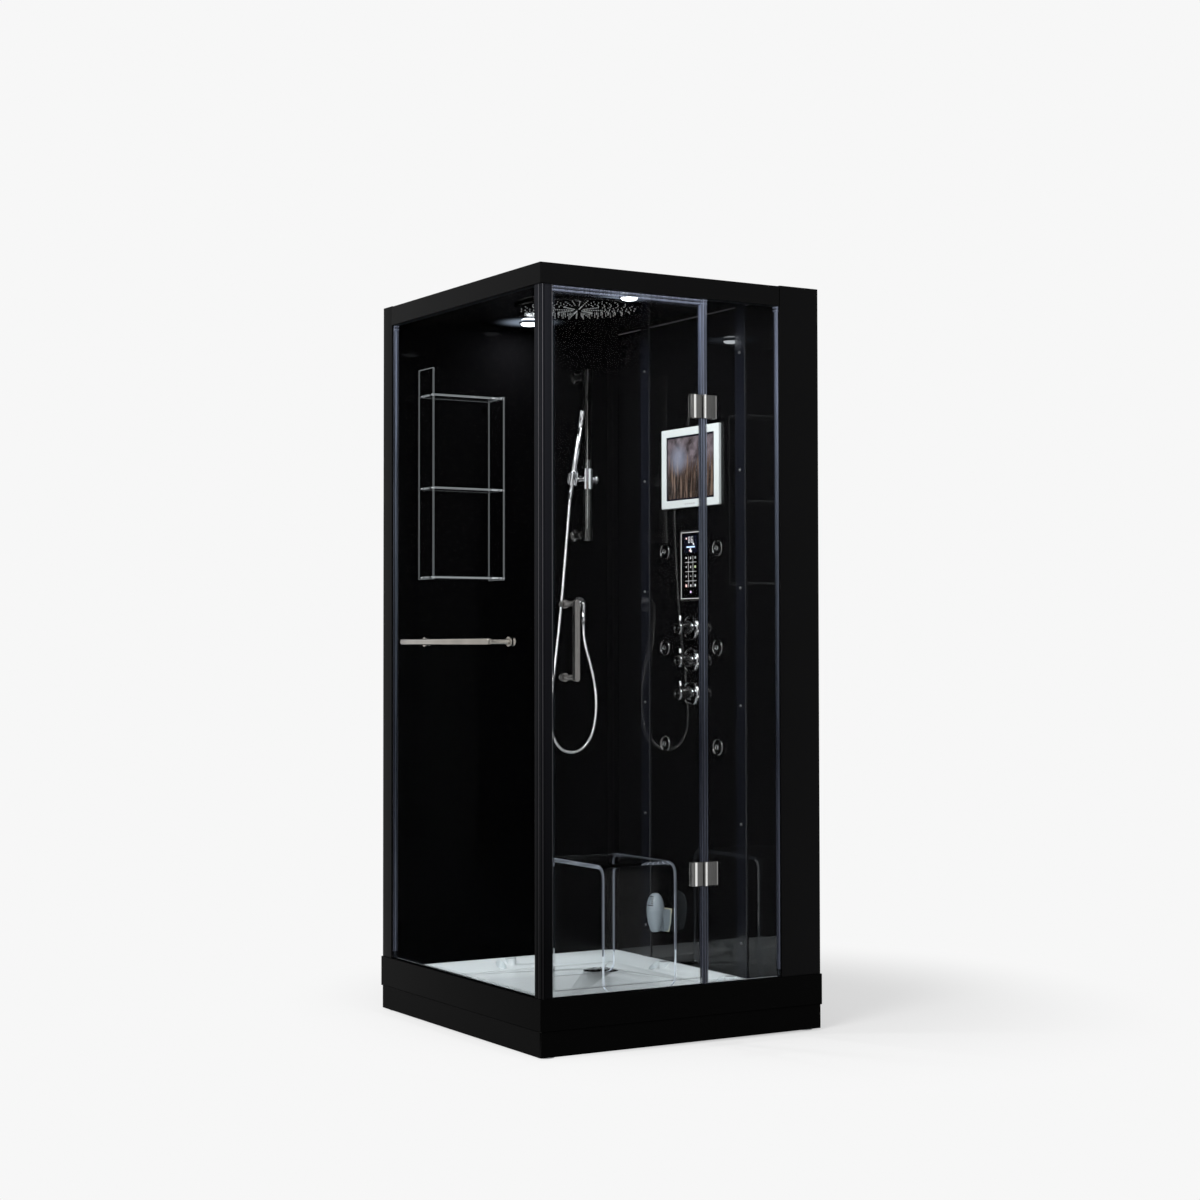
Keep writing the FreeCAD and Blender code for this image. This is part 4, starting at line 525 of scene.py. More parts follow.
picture = {
    "hazeScale": 26, "reedScale": (0, 95, 11), "horizon": (-1.1, -0.1, 0.12),
    "sky": ((0.35, (0.035, 0.026, 0.028)), (0.68, (0.2, 0.165, 0.19))),
    "ground": ((0.42, (0.012, 0.008, 0.006)), (0.52, (0.06, 0.036, 0.026)),
               (0.64, (0.2, 0.135, 0.1))),
    "lightAt": (0, 0.75, 0.65), "lightReach": 0.07, "lightShare": 0.75,
    "light": (0.24, 0.27, 0.36, 1),
}


def screenPictureMaterial():
    # a made-up wood at dusk: mauve haze above, a pale light, dark trunks and reeds below
    tree, shader = startMaterial("screenPicture", {
        "Roughness": 0.1, "Base Color": (0.01, 0.01, 0.01, 1), "Emission Strength": 1.0})
    low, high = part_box("tv_screen")
    place = coordinate(tree)
    height = addGroup(tree, heightTone, Low=low.z, High=high.z)["Factor"]
    sky = ramped(tree, noise(tree, place, picture["hazeScale"], 6), picture["sky"])
    upright = add(tree, "Mapping", {"Vector": place, "Scale": picture["reedScale"]})
    reeds = noise(tree, upright.outputs[0], 1, 4)
    ground = ramped(tree, reeds, picture["ground"])
    lean, start, end = picture["horizon"]
    edge = calc(tree, "MULTIPLY_ADD", reeds, lean, height)
    scenery = mixed(tree, ranged(tree, edge, start, end, kind="SMOOTHSTEP"), ground, sky)
    spot = [a + (b - a) * share for a, b, share in zip(low, high, picture["lightAt"])]
    away = distance(tree, place, spot)
    share = ranged(tree, away, 0, picture["lightReach"], picture["lightShare"], 0,
                   "SMOOTHERSTEP")
    tree.links.new(mixed(tree, share, scenery, picture["light"]),
                   shader.inputs["Emission Color"])


hingeSpan = (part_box("hinge_door_leaves")[0].x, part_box("hinge_fixed_leaves")[1].x)
# edge tints of the sheets, which also glow on their edges as a painted highlight
paneTint, edgeTintAndGlow, shelfEdgeTintAndGlow = (0.985, 0.99, 0.99), (0.2, 0.26, 0.3), (0.6, 0.64, 0.66)
keyGlows = (("keyWhite", (0.85, 0.85, 0.88), 0.36), ("keyRed", (0.9, 0.16, 0.12), 0.9),
            ("keyGreen", (0.6, 0.8, 0.12), 0.8), ("keyBlue", (0.1, 0.35, 1.0), 0.9),
            ("keyPurple", (0.75, 0.35, 0.9), 1.0), ("keyGrey", (0.3, 0.31, 0.33), 0.12),
            ("panelLine", (0.3, 0.31, 0.33), 0.3))

variedMaterial("profileBlack", (0.0024, 0.0024, 0.0026), 0.4, specular=0.035, toneDrift=0.3,
               speck=1600.0, bump=0.05)
variedMaterial("panelBlack", (0.0007, 0.0007, 0.0008), 0.02, specular=0.01, toneDrift=0.4,
               roughnessDrift=0.02, patch=2.0, bump=0.0)
variedMaterial("serviceBlack", (0.0014, 0.0014, 0.0016), 0.015, specular=0.34, toneDrift=0.4,
               roughnessDrift=0.01, patch=2.0, bump=0.0)
ceilingMaterial()
variedMaterial("rainBlack", (0.0014, 0.0014, 0.0016), 0.08, specular=0.2, toneDrift=0.3,
               roughnessDrift=0.04, bump=0.0)
variedMaterial("baseBlack", (0.0007, 0.0007, 0.0007), 0.36, specular=0.015, toneDrift=0.3,
               speck=1600.0, bump=0.05)
# the post with painted light, lighter towards the top
upperLitMaterial("postGrey", (0.0012, 0.0013, 0.0017), (0.012, 0.0125, 0.016), 0.3, 0.02)
# painted highlight strips beside the post, lighter towards the top
upperLitMaterial("beadGrey", (0.006, 0.006, 0.0075), (0.17, 0.17, 0.185), 0.3, 0.3)
# the seam's painted highlight
variedMaterial("seamHighlight", (0.008, 0.008, 0.008), 0.4, specular=0.1, toneDrift=0.6, patch=6.0,
               bump=0.0)
variedMaterial("trimBlack", (0.0045, 0.0052, 0.0085), 0.12, specular=0.4, toneDrift=0.3,
               bump=0.02)
variedMaterial("acrylicWhite", (0.73, 0.795, 0.82), 0.16, coat=0.4, toneDrift=0.05,
               roughnessDrift=0.08, patch=3.0, bump=0.015)
# chromes with painted reflections: brighter for the slider, lock and holder, darker for valves,
# drain and outlet
paintedReflectionChrome("chrome", (0.07, 0.07, 0.078), (0.8, 0.81, 0.83))
paintedReflectionChrome("brightReflectionChrome", (0.16, 0.16, 0.17), (0.92, 0.93, 0.95), 0.45, 4.5)
paintedReflectionChrome("darkReflectionChrome", (0.012, 0.012, 0.015), (0.8, 0.81, 0.83), 0.53, 6.5)
# jet chrome: near-black metal whose colour is a painted dark reflection of the cabin
variedMaterial("jetChrome", (0.006, 0.006, 0.007), 0.2, metallic=1.0, toneDrift=0.6,
               roughnessDrift=0.04, patch=90.0, bump=0.0)
brushedMaterial("ringChrome", (0.97, 0.98, 1.0), 0.22, (40, 40, 40), 1.2, 60.0)
# slide rail: painted highlight bands, with a darker painted reflection above 1.79 m
highlightBandedMetal("slideChrome", (0.1845, 0.2095),
            ((0.0, 0.1), (0.2, 0.12), (0.22, 0.85), (0.34, 0.8), (0.38, 0.2), (0.65, 0.26),
             (0.7, 0.05), (0.92, 0.06), (1.0, 0.2)), 1.79,
            ((0.0, 0.03), (0.2, 0.03), (0.22, 0.6), (0.32, 0.55), (0.36, 0.015), (0.92, 0.012),
             (1.0, 0.03)))
variedMaterial("screwSteel", (0.2, 0.21, 0.21), 0.3, toneDrift=0.5, bump=0.01)
brushedMaterial("satinSteel", (0.2, 0.2, 0.195), 0.26, (900, 900, 14), 1.0, 26.0)
# hinges: painted highlight bands on the leaves and a painted glint on the knuckle
highlightBandedMetal("hingeSteel", hingeSpan,
            ((0.0, 0.14), (0.1, 0.11), (0.115, 0.85), (0.18, 0.8), (0.2, 0.12), (0.45, 0.1),
             (0.49, 0.85), (0.57, 0.85), (0.6, 0.1), (0.95, 0.08), (0.97, 0.32), (1.0, 0.2)))
brushedMaterial("handleSteel", (0.17, 0.165, 0.16), 0.26, (900, 900, 12), 0.5)
brushedMaterial("railSteel", (0.33, 0.31, 0.28), 0.2, (900, 14, 900), 0.5)
hoseMaterial()
# clear sheets whose edges glow with a painted highlight
paneMaterial("frontPane", paneTint, edgeTintAndGlow, (1, 0, 1), 1.075)
paneMaterial("sidePane", paneTint, edgeTintAndGlow, (0, 1, 1), 1.01)
paneMaterial("shelfSide", paneTint, shelfEdgeTintAndGlow, (0, 1, 1), 1.1, 0.45)
paneMaterial("shelfPlate", (0.96, 0.97, 0.975), shelfEdgeTintAndGlow, (1, 1, 0), 1.12, 0.45)
paneMaterial("stoolSheet", (0.975, 0.985, 0.99), (0.5, 0.56, 0.66), (1, 0, 0), 1.12, 0.5)
sealMaterial()
variedMaterial("steamGrey", (0.29, 0.34, 0.38), 0.3, toneDrift=0.1, patch=20.0, bump=0.02)
variedMaterial("gasketCream", (0.72, 0.69, 0.5), 0.5, toneDrift=0.1)
variedMaterial("frameWhite", (0.59, 0.64, 0.645), 0.3, toneDrift=0.04, patch=12.0, bump=0.02)
variedMaterial("galvanised", (0.36, 0.37, 0.38), 0.42, metallic=0.9, toneDrift=0.5, patch=60.0,
               roughnessDrift=0.3)
variedMaterial("backSheet", (0.34, 0.35, 0.36), 0.45, metallic=0.8, toneDrift=0.3, patch=35.0,
               roughnessDrift=0.25)
variedMaterial("brass", (0.55, 0.4, 0.18), 0.28, metallic=1.0, toneDrift=0.15, patch=40.0)
variedMaterial("greyMoulding", (0.28, 0.29, 0.3), 0.5, toneDrift=0.1)
# dark finish of painted shade for the vent and drain openings
variedMaterial("rubber", (0.015, 0.015, 0.015), 0.7, toneDrift=0.2)
glowMaterial("lampGlow", (0.9, 0.95, 1.0), 9.0)
variedMaterial("nozzleTip", (0.7, 0.74, 0.75), 0.3, toneDrift=0.1, bump=0.01)
variedMaterial("displayGlass", (0.004, 0.005, 0.012), 0.12, specular=0.4, toneDrift=0.3,
               bump=0.0)
for name, color, strength in keyGlows:
    glowMaterial(name, color, strength)
screenPictureMaterial()
print("finishes ready")


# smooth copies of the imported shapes

def placePiece(obj, body):
    scene.collection.objects.link(obj)
    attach(obj, body)
    return obj


def smoothMesh(mesh, angle):
    mesh.polygons.foreach_set("use_smooth", [True] * len(mesh.polygons))
    mesh.set_sharp_from_angle(angle=math.radians(angle))


def softenedNode(node, finish, edge):
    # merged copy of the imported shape, with eased edges
    bm = bmesh.new()
    bm.from_mesh(frame["nodes"][node].data)
    bmesh.ops.remove_doubles(bm, verts=bm.verts, dist=0.00002)
    bmesh.ops.dissolve_limit(bm, angle_limit=math.radians(1.0), verts=bm.verts, edges=bm.edges,
                             delimit={"NORMAL"})
    mesh = bpy.data.meshes.new(node + "Shape")
    bm.to_mesh(mesh)
    bm.free()
    smoothMesh(mesh, 30)
    name = "".join(word.capitalize() for word in node.split("_"))
    piece = bpy.data.objects.new(name[0].lower() + name[1:], mesh)
    mesh.materials.append(finishes[finish])
    if edge:
        ease = piece.modifiers.new("easedEdges", "BEVEL")
        ease.width = edge
        ease.segments = 2
        ease.limit_method = "ANGLE"
        ease.angle_limit = math.radians(35)
        ease.harden_normals = True
    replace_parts(placePiece(piece, bodyOf[node]), node)


softened = {
    "base_band": ("baseBlack", 0.0012), "skirts": ("baseBlack", 0.001),
    "tray": ("acrylicWhite", 0.0), "drain_cover": ("darkReflectionChrome", 0.0004),
    "corner_post": ("postGrey", 0.0003), "left_wall_end": ("profileBlack", 0.0006),
    "service_front": ("profileBlack", 0.0006), "back_corner_trim": ("panelBlack", 0.0006),
    "service_trims": ("trimBlack", 0.0006), "roof_frame": ("profileBlack", 0.001),
    "rain_head": ("rainBlack", 0.0), "led_spots": ("trimBlack", 0.0),
    "hinge_fixed_leaves": ("hingeSteel", 0.0005), "hinge_door_leaves": ("hingeSteel", 0.0005),
    "door_handle": ("handleSteel", 0.0005), "towel_rail": ("railSteel", 0.0),
    "tv_housing": ("frameWhite", 0.0008), "control_frame": ("satinSteel", 0.0004),
    "control_glass": ("panelBlack", 0.0002), "valve_plates": ("darkReflectionChrome", 0.0004),
    "valve_knob_1": ("darkReflectionChrome", 0.0006), "valve_knob_2": ("darkReflectionChrome", 0.0006),
    "valve_knob_3": ("darkReflectionChrome", 0.0006), "jet_housings": ("jetChrome", 0.0),
    "steam_cup": ("steamGrey", 0.0008), "steam_dome": ("steamGrey", 0.0003),
    "slide_rail": ("slideChrome", 0.0005), "rail_slider": ("brightReflectionChrome", 0.0006),
    "lock_knob": ("brightReflectionChrome", 0.0004), "shower_holder": ("brightReflectionChrome", 0.0005),
    "hand_shower": ("brightReflectionChrome", 0.0), "wall_outlet": ("darkReflectionChrome", 0.0004),
    "shelf_sides": ("shelfSide", 0.0012), "shelf_plates": ("shelfPlate", 0.0012),
    "stool": ("stoolSheet", 0.0022),
}
for node, (finish, edge) in softened.items():
    softenedNode(node, finish, edge)
for number in range(1, 7):
    softenedNode("jet_nozzle_%d" % number, "jetChrome", 0.0)

plainFinish = {
    "base_frame": "galvanised", "levelling_feet": "galvanised", "drain_trap": "greyMoulding",
    "left_wall_panel": "panelBlack", "left_wall_frame": "galvanised",
    "service_frame": "galvanised", "rear_sheets": "backSheet", "service_panels": "serviceBlack",
    "roof_cover": "greyMoulding", "ceiling_panel": "ceilingBlack", "side_glass": "sidePane",
    "fixed_glass": "frontPane", "door_glass": "frontPane", "pane_seals": "vinylSeal",
    "door_seals": "vinylSeal", "tv_screen": "displayGlass", "steam_generator": "backSheet",
    "pipework": "brass", "shower_hose": "chrome",
}
for node, finish in plainFinish.items():
    materials = frame["nodes"][node].data.materials
    if len(materials):
        for index in range(len(materials)):
            materials[index] = finishes[finish]
    else:
        materials.append(finishes[finish])
print("packed shapes dressed")


# new pieces

def finishMesh(bm, name, finish, body):
    bmesh.ops.remove_doubles(bm, verts=bm.verts, dist=0.000001)
    bmesh.ops.recalc_face_normals(bm, faces=bm.faces)
    mesh = bpy.data.meshes.new(name + "Shape")
    bm.to_mesh(mesh)
    bm.free()
    smoothMesh(mesh, 35)
    mesh.materials.append(finishes[finish])
    return placePiece(bpy.data.objects.new(name, mesh), body)


def spunPiece(bm, outline, centre, direction, steps):
    # turn an outline of (radius, height) round the direction through the centre
    turn = (Matrix.Translation(centre)
            @ direction.to_track_quat("Z", "Y").to_matrix().to_4x4())
    verts = [bm.verts.new(turn @ Vector((r, 0, h))) for r, h in outline]
    edges = [bm.edges.new(pair) for pair in zip(verts, verts[1:])]
    bmesh.ops.spin(bm, geom=verts + edges, cent=centre, axis=direction.normalized(),
                   angle=math.tau, steps=steps, use_merge=True)


def spunFitting(name, finish, body, outline, spots, direction, steps):
    # one piece that repeats a turned outline at each spot
    bm = bmesh.new()
    for spot in spots:
        spunPiece(bm, outline, spot, direction, steps)
    return finishMesh(bm, name, finish, body)


def addBlock(bm, x0, x1, y0, y1, z0, z1):
    spot = (Matrix.Translation(((x0 + x1) / 2, (y0 + y1) / 2, (z0 + z1) / 2))
            @ Matrix.Diagonal((x1 - x0, y1 - y0, z1 - z0, 1)))
    return bmesh.ops.create_cube(bm, size=1, matrix=spot)["verts"]


def edgesOf(verts):
    return {edge for vert in verts for edge in vert.link_edges}


def easeEdges(bm, edges, offset, segments):
    bmesh.ops.bevel(bm, geom=list(edges), offset=offset, offset_type="OFFSET", affect="EDGES",
                    segments=segments, profile=0.5, material=-1)


def flatPlate(bm, x, y0, y1, z0, z1, thickness, rounding=0.0):
    verts = addBlock(bm, x - thickness, x, y0, y1, z0, z1)
    if rounding:
        easeEdges(bm, [edge for edge in edgesOf(verts)
                       if abs(edge.verts[0].co.x - edge.verts[1].co.x) > thickness / 2],
                  rounding, 4)


def jetCentre(number):
    low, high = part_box("jet_nozzle_%d" % number)
    return Vector((low.x, (low.y + high.y) / 2, (low.z + high.z) / 2))


def knobCentre(number):
    # the knob's round body begins at its lowest point
    low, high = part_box("valve_knob_%d" % number)
    radius = (high.y - low.y) / 2
    return Vector((low.x, low.y + radius, low.z + radius)), radius


rainNozzles = {
    "radius": 0.0016, "taper": 0.7, "drop": 0.0022, "sunk": 0.0002, "sides": 8,
    "perRing": 24, "first": 0.086, "rings": 8, "ringGap": 0.0131,
    "arms": 8, "armFrom": 0.02, "armTo": 0.076, "armNubs": 11,
}


def addRainNozzles():
    low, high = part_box("rain_head")
    centre = Vector(((low.x + high.x) / 2, (low.y + high.y) / 2, low.z))
    drop, size = rainNozzles["drop"], rainNozzles["radius"]
    bm = bmesh.new()

    def nub(radius, turn):
        aside = Vector((radius * math.cos(turn), radius * math.sin(turn),
                        rainNozzles["sunk"] - drop / 2))
        bmesh.ops.create_cone(bm, cap_ends=True, segments=rainNozzles["sides"],
                              radius1=size * rainNozzles["taper"], radius2=size, depth=drop,
                              matrix=Matrix.Translation(centre + aside))
    count = rainNozzles["perRing"]
    for ring in range(rainNozzles["rings"]):
        for i in range(count):
            nub(rainNozzles["first"] + ring * rainNozzles["ringGap"],
                math.tau * (i + 0.5 * (ring % 2)) / count)
    span = rainNozzles["armTo"] - rainNozzles["armFrom"]
    for arm in range(rainNozzles["arms"]):
        for i in range(rainNozzles["armNubs"]):
            nub(rainNozzles["armFrom"] + span * i / (rainNozzles["armNubs"] - 1),
                math.tau * (arm + 0.5) / rainNozzles["arms"])
    finishMesh(bm, "rainNozzles", "nozzleTip", "cabin")


trimScrews = {
    "heights": (0.248, 0.615, 0.982, 1.348, 1.715, 2.082), "stripWidth": 0.052,
    "radius": 0.0038, "rise": 0.0024, "steps": 20,
    # outline as shares of the radius and the rise
    "outline": ((1, -0.125), (0.97, 0.45), (0.75, 0.85), (0.3, 1), (0.28, 0.45), (0, 0.45)),
}


def addTrimScrews():
    low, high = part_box("service_trims")
    half = trimScrews["stripWidth"] / 2
    outline = [(trimScrews["radius"] * a, trimScrews["rise"] * b)
               for a, b in trimScrews["outline"]]
    spots = [Vector((low.x, y, z)) for y in (low.y + half, high.y - half)
             for z in trimScrews["heights"]]
    spunFitting("trimScrews", "screwSteel", "cabin", outline, spots, intoRoom,
                trimScrews["steps"])


lampLenses = {
    "radius": 0.026, "bulge": 0.0075, "steps": 32,
    # outline as shares of the radius and the bulge
    "outline": ((1, -0.08), (1, 0), (0.94, 0.45), (0.75, 0.8), (0.4, 1), (0, 1)),
}


def addLampLenses():
    outline = [(lampLenses["radius"] * a, lampLenses["bulge"] * b)
               for a, b in lampLenses["outline"]]
    spunFitting("lampLenses", "lampGlow", "cabin", outline, spotCentres(), -upward,
                lampLenses["steps"])


screen = {"inset": 0.006, "proud": 0.0004}


def addScreenPicture():
    low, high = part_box("tv_screen")
    inset = screen["inset"]
    bm = bmesh.new()
    flatPlate(bm, low.x, low.y + inset, high.y - inset, low.z + inset, high.z - inset,
              screen["proud"])
    finishMesh(bm, "screenPicture", "screenPicture", "cabin")


# marks of the key icons: tone, rise, width, height of a bar, or radius and hole of a disc with
# its number of sides; sizes are shares of the icon's
squareIcon = ("keyWhite", 0, 0.72, 0.42, 4)
figureIcon = (("keyWhite", 0.5, 0.55, 0.5, 0), ("keyWhite", -0.35, 0.8, 0.9, 0))
knobIcon = (("keyWhite", 0.5, 0.32, 0, 20), ("keyWhite", -0.3, 1.2, 0.4, 0))
panel = {
    "tones": ("displayGlass", "keyWhite", "keyRed", "keyGreen", "keyBlue", "keyPurple",
              "keyGrey", "panelLine"),
    "sheet": 0.0003, "sunk": 0.0002, "discDepth": 0.0004,
    "displayHalf": 0.0355, "displayLevels": (1.4675, 1.5245), "displayRounding": 0.002,
    "edge": 0.0022, "edgeWidth": 0.0018,
    # digits made of bars
    "digits": (0.008, -0.008), "digitBars": (1.5185, 1.5095, 1.5005), "digitWidth": 0.008,
    "stroke": 0.0015, "sideBars": (1.514, 1.505), "sideAway": 0.0042, "sideHeight": 0.0075,
    "blueBar": (1.4865, 0.046, 0.0042),
    # tone, place beside the middle, level, radius
    "dots": (("keyRed", 0.023, 1.514, 0.0028), ("keyWhite", 0.026, 1.514, 0.0014),
             ("keyWhite", -0.016, 1.4955, 0.0035), ("keyWhite", 0.001, 1.4795, 0.0032),
             ("keyRed", 0.006, 1.4745, 0.0026), ("keyWhite", -0.002, 1.4725, 0.0036),
             ("keyPurple", 0, 1.3416, 0.0034)),
    "keyPitch": 0.025, "keyRows": (1.4515, 1.4222, 1.3922, 1.362), "iconSize": 0.0046,
    "icons": ((squareIcon, ("keyWhite", 0, 0.44, 0, 4)), figureIcon, knobIcon,
              (squareIcon,), figureIcon, (("keyGreen", 0, 0.8, 0.4, 20),),
              (squareIcon,), (("keyWhite", 0, 1.1, 0.45, 0),), knobIcon,
              (("keyRed", 0, 1, 0.68, 20), ("keyWhite", 0, 0.62, 0.34, 20)),
              (("keyWhite", 0, 0.8, 0.45, 20),),
              (("keyWhite", 0.2, 0.75, 0, 20), ("keyWhite", -0.6, 0.4, 0.8, 0))),
    "rowLine": (0.015, 0.062, 0.0012), "columnLine": (1.4067, 0.001, 0.1),
}


def addPanelMarks():
    # display, generic icons on the keys and the small lamp, all on the glass face
    low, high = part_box("control_glass")
    x, middle = low.x, (low.y + high.y) / 2
    parts = {tone: bmesh.new() for tone in panel["tones"]}
    sheet = panel["sheet"]

    def disc(tone, y, z, radius, inner=0, sides=20):
        if inner:
            spunPiece(parts[tone], [(inner, 0), (inner, sheet), (radius, sheet), (radius, 0)],
                      Vector((x, y, z)), intoRoom, sides)
            return
        turn = (Matrix.Translation((x - sheet, y, z))
                @ Matrix.Rotation(math.radians(-90), 4, "Y"))
        bmesh.ops.create_cone(parts[tone], cap_ends=True, segments=sides, radius1=radius,
                              radius2=radius, depth=panel["discDepth"], matrix=turn)

    def bar(tone, y, z, width, height):
        flatPlate(parts[tone], x - panel["sunk"], y - width / 2, y + width / 2, z - height / 2,
                  z + height / 2, sheet, min(width, height) * 0.3)
    flatPlate(parts["displayGlass"], x, middle - panel["displayHalf"],
              middle + panel["displayHalf"], *panel["displayLevels"], sheet,
              panel["displayRounding"])
    # fine bright line round the glass
    edge, wide = panel["edge"], panel["edgeWidth"]
    for side in (low.y + edge, high.y - edge):
        bar("panelLine", side, (low.z + high.z) / 2, wide, high.z - low.z - 2 * edge)
    for level in (low.z + edge, high.z - edge):
        bar("panelLine", middle, level, high.y - low.y - 2 * edge, wide)
    # the first digit is a closed 8, the second lacks its upper right bar
    for digit, offset in enumerate(panel["digits"]):
        y = middle + offset
        for z in panel["digitBars"]:
            bar("keyWhite", y, z, panel["digitWidth"], panel["stroke"])
        for side in (-1, 1):
            for z in panel["sideBars"][0 if digit == 0 or side == 1 else 1:]:
                bar("keyWhite", y + side * panel["sideAway"], z, panel["stroke"],
                    panel["sideHeight"])
    bar("keyBlue", middle, *panel["blueBar"])
    for tone, aside, z, radius in panel["dots"]:
        disc(tone, middle + aside, z, radius)
    size, pitch = panel["iconSize"], panel["keyPitch"]
    for index, icon in enumerate(panel["icons"]):
        y = middle + (1 - index % 3) * pitch
        z = panel["keyRows"][index // 3]
        for tone, rise, first, second, sides in icon:
            if sides:
                disc(tone, y, z + rise * size, first * size, second * size, sides)
            else:
                bar(tone, y, z + rise * size, first * size, second * size)
    rise, width, height = panel["rowLine"]
    for z in panel["keyRows"][1:]:
        bar("keyGrey", middle, z + rise, width, height)
    for side in (-1, 1):
        bar("keyGrey", middle + side * pitch / 2, *panel["columnLine"])
    for tone, bm in parts.items():
        finishMesh(bm, "panel" + tone[0].upper() + tone[1:], tone, "cabin")


screenKeys = {
    "count": 5, "pitch": 0.012, "rise": 0.0115, "steps": 16,
    "outline": ((0.0026, -0.0002), (0.0026, 0.0004), (0.0018, 0.0008), (0, 0.0009)),
}


def addScreenKeys():
    # five small round keys under the picture
    low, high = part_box("tv_housing")
    first = (low.y + high.y) / 2 - screenKeys["pitch"] * (screenKeys["count"] - 1) / 2
    spots = [Vector((low.x, first + i * screenKeys["pitch"], low.z + screenKeys["rise"]))
             for i in range(screenKeys["count"])]
    spunFitting("screenKeys", "greyMoulding", "cabin", screenKeys["outline"],
                spots, intoRoom, screenKeys["steps"])


valveMarks = {
    # the ring's radii are shares of the knob's
    "ring": ((0.62, -0.0004), (0.62, 0.0001), (0.58, 0.0004), (0.54, 0.0001), (0.54, -0.0004)),
    "ringSteps": 40, "dotAway": 0.4, "dotSteps": 12,
    "dot": ((0.0016, -0.0003), (0.0016, 0.0003), (0, 0.0004)),
}


def addValveDetails():
    # a fine ring and a marked cap on each knob, turning with it
    for number in (1, 2, 3):
        centre, radius = knobCentre(number)
        body = "valve_%d" % number
        ring = [(radius * share, h) for share, h in valveMarks["ring"]]
        spunFitting("valveCapRing%d" % number, "handleSteel", body, ring, [centre],
                    intoRoom, valveMarks["ringSteps"])
        spots = [centre + Vector((0, side * radius * valveMarks["dotAway"], 0))
                 for side in (-1, 1)]
        spunFitting("valveDots%d" % number, "greyMoulding", body, valveMarks["dot"],
                    spots, intoRoom, valveMarks["dotSteps"])


bezels = {"jetRadius": 0.0243, "valveRadius": 0.0381, "plateRise": 0.008, "wire": 0.0007,
          "sides": 8, "twist": 0.3, "steps": 48}


def addBezelRings():
    # fine bright arris round each jet flange and valve plate
    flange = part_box("jet_housings")[0].x
    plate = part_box("service_panels")[0].x - bezels["plateRise"]
    rings = [(bezels["jetRadius"], flange, jetCentre(number)) for number in range(1, 7)]
    rings += [(bezels["valveRadius"], plate, knobCentre(number)[0]) for number in (1, 2, 3)]
    turns = [math.tau * i / bezels["sides"] + bezels["twist"]
             for i in range(bezels["sides"] + 1)]
    bm = bmesh.new()
    for radius, face, centre in rings:
        outline = [(radius + bezels["wire"] * math.cos(turn), bezels["wire"] * math.sin(turn))
                   for turn in turns]
        spunPiece(bm, outline, Vector((face, centre.y, centre.z)), intoRoom, bezels["steps"])
    finishMesh(bm, "bezelRings", "ringChrome", "cabin")


jetRings = {
    "outline": ((0.0075, -0.0002), (0.0072, 0.0004), (0.0062, 0.0006), (0.0058, 0.0002),
                (0.0058, -0.0004)),
    "steps": 28,
}


def addJetRings():
    for number in range(1, 7):
        spunFitting("jetRing%d" % number, "ringChrome", "jet_%d" % number,
                    jetRings["outline"], [jetCentre(number)], intoRoom, jetRings["steps"])


shelfClips = {
    "levels": (1.385, 1.672, 1.971), "rise": 0.003, "ends": (0.012, 0.014), "head": 0.0012,
    "outline": ((0, 0), (0.0042, 0), (0.0042, 0.0012), (0.00168, 0.0012), (0.00168, 0.007),
                (0.0042, 0.0072), (0.0042, 0.0162), (0, 0.0162)),
    "steps": 20,
}


def addShelfClips():
    sideLow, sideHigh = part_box("shelf_sides")
    plateLow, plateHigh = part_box("shelf_plates")
    front, back = shelfClips["ends"]
    bm = bmesh.new()
    for x, way in ((sideLow.x, 1), (sideHigh.x, -1)):
        for level in shelfClips["levels"]:
            for y in (plateLow.y + front, plateHigh.y - back):
                centre = Vector((x - way * shelfClips["head"], y, level + shelfClips["rise"]))
                spunPiece(bm, shelfClips["outline"], centre, -intoRoom * way,
                          shelfClips["steps"])
    finishMesh(bm, "shelfClips", "chrome", "cabin")


drainSlots = {
    "count": 12, "from": 0.024, "to": 0.046, "width": 0.0032, "depth": 0.0012, "sunk": 0.0007,
    "slope": 1.8, "rounding": 0.0004,
    "boss": ((0.0125, 0), (0.0125, 0.0008), (0.011, 0.0012), (0, 0.0013)),
    "bossSunk": 0.0006, "bossSteps": 28,
}


def addDrainSlots():
    # the slots are dark blocks of painted shade that stand for the openings in the cover
    low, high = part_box("drain_cover")
    centre = Vector(((low.x + high.x) / 2, (low.y + high.y) / 2, high.z))
    spunFitting("drainBoss", "satinSteel", "strainer", drainSlots["boss"],
                [centre - upward * drainSlots["bossSunk"]], upward, drainSlots["bossSteps"])
    middle = (drainSlots["from"] + drainSlots["to"]) / 2
    span = drainSlots["to"] - drainSlots["from"]
    bm = bmesh.new()
    for i in range(drainSlots["count"]):
        turn = math.tau * i / drainSlots["count"]
        aside = Vector((middle * math.cos(turn), middle * math.sin(turn), -drainSlots["sunk"]))
        spot = (Matrix.Translation(centre + aside) @ Matrix.Rotation(turn, 4, "Z")
                @ Matrix.Rotation(math.radians(drainSlots["slope"]), 4, "Y")
                @ Matrix.Diagonal((span, drainSlots["width"], drainSlots["depth"], 1)))
        made = bmesh.ops.create_cube(bm, size=1, matrix=spot)
        easeEdges(bm, edgesOf(made["verts"]), drainSlots["rounding"], 2)
    finishMesh(bm, "drainSlots", "rubber", "strainer")


steamGasket = {
    # right half of the outline, from the top down
    "half": ((0.0285, 0.3145), (0.0268, 0.300), (0.0228, 0.266), (0.0188, 0.2578),
             (0.0168, 0.248), (0.0108, 0.2376)),
    "sunk": 0.0002, "thickness": 0.0027,
}


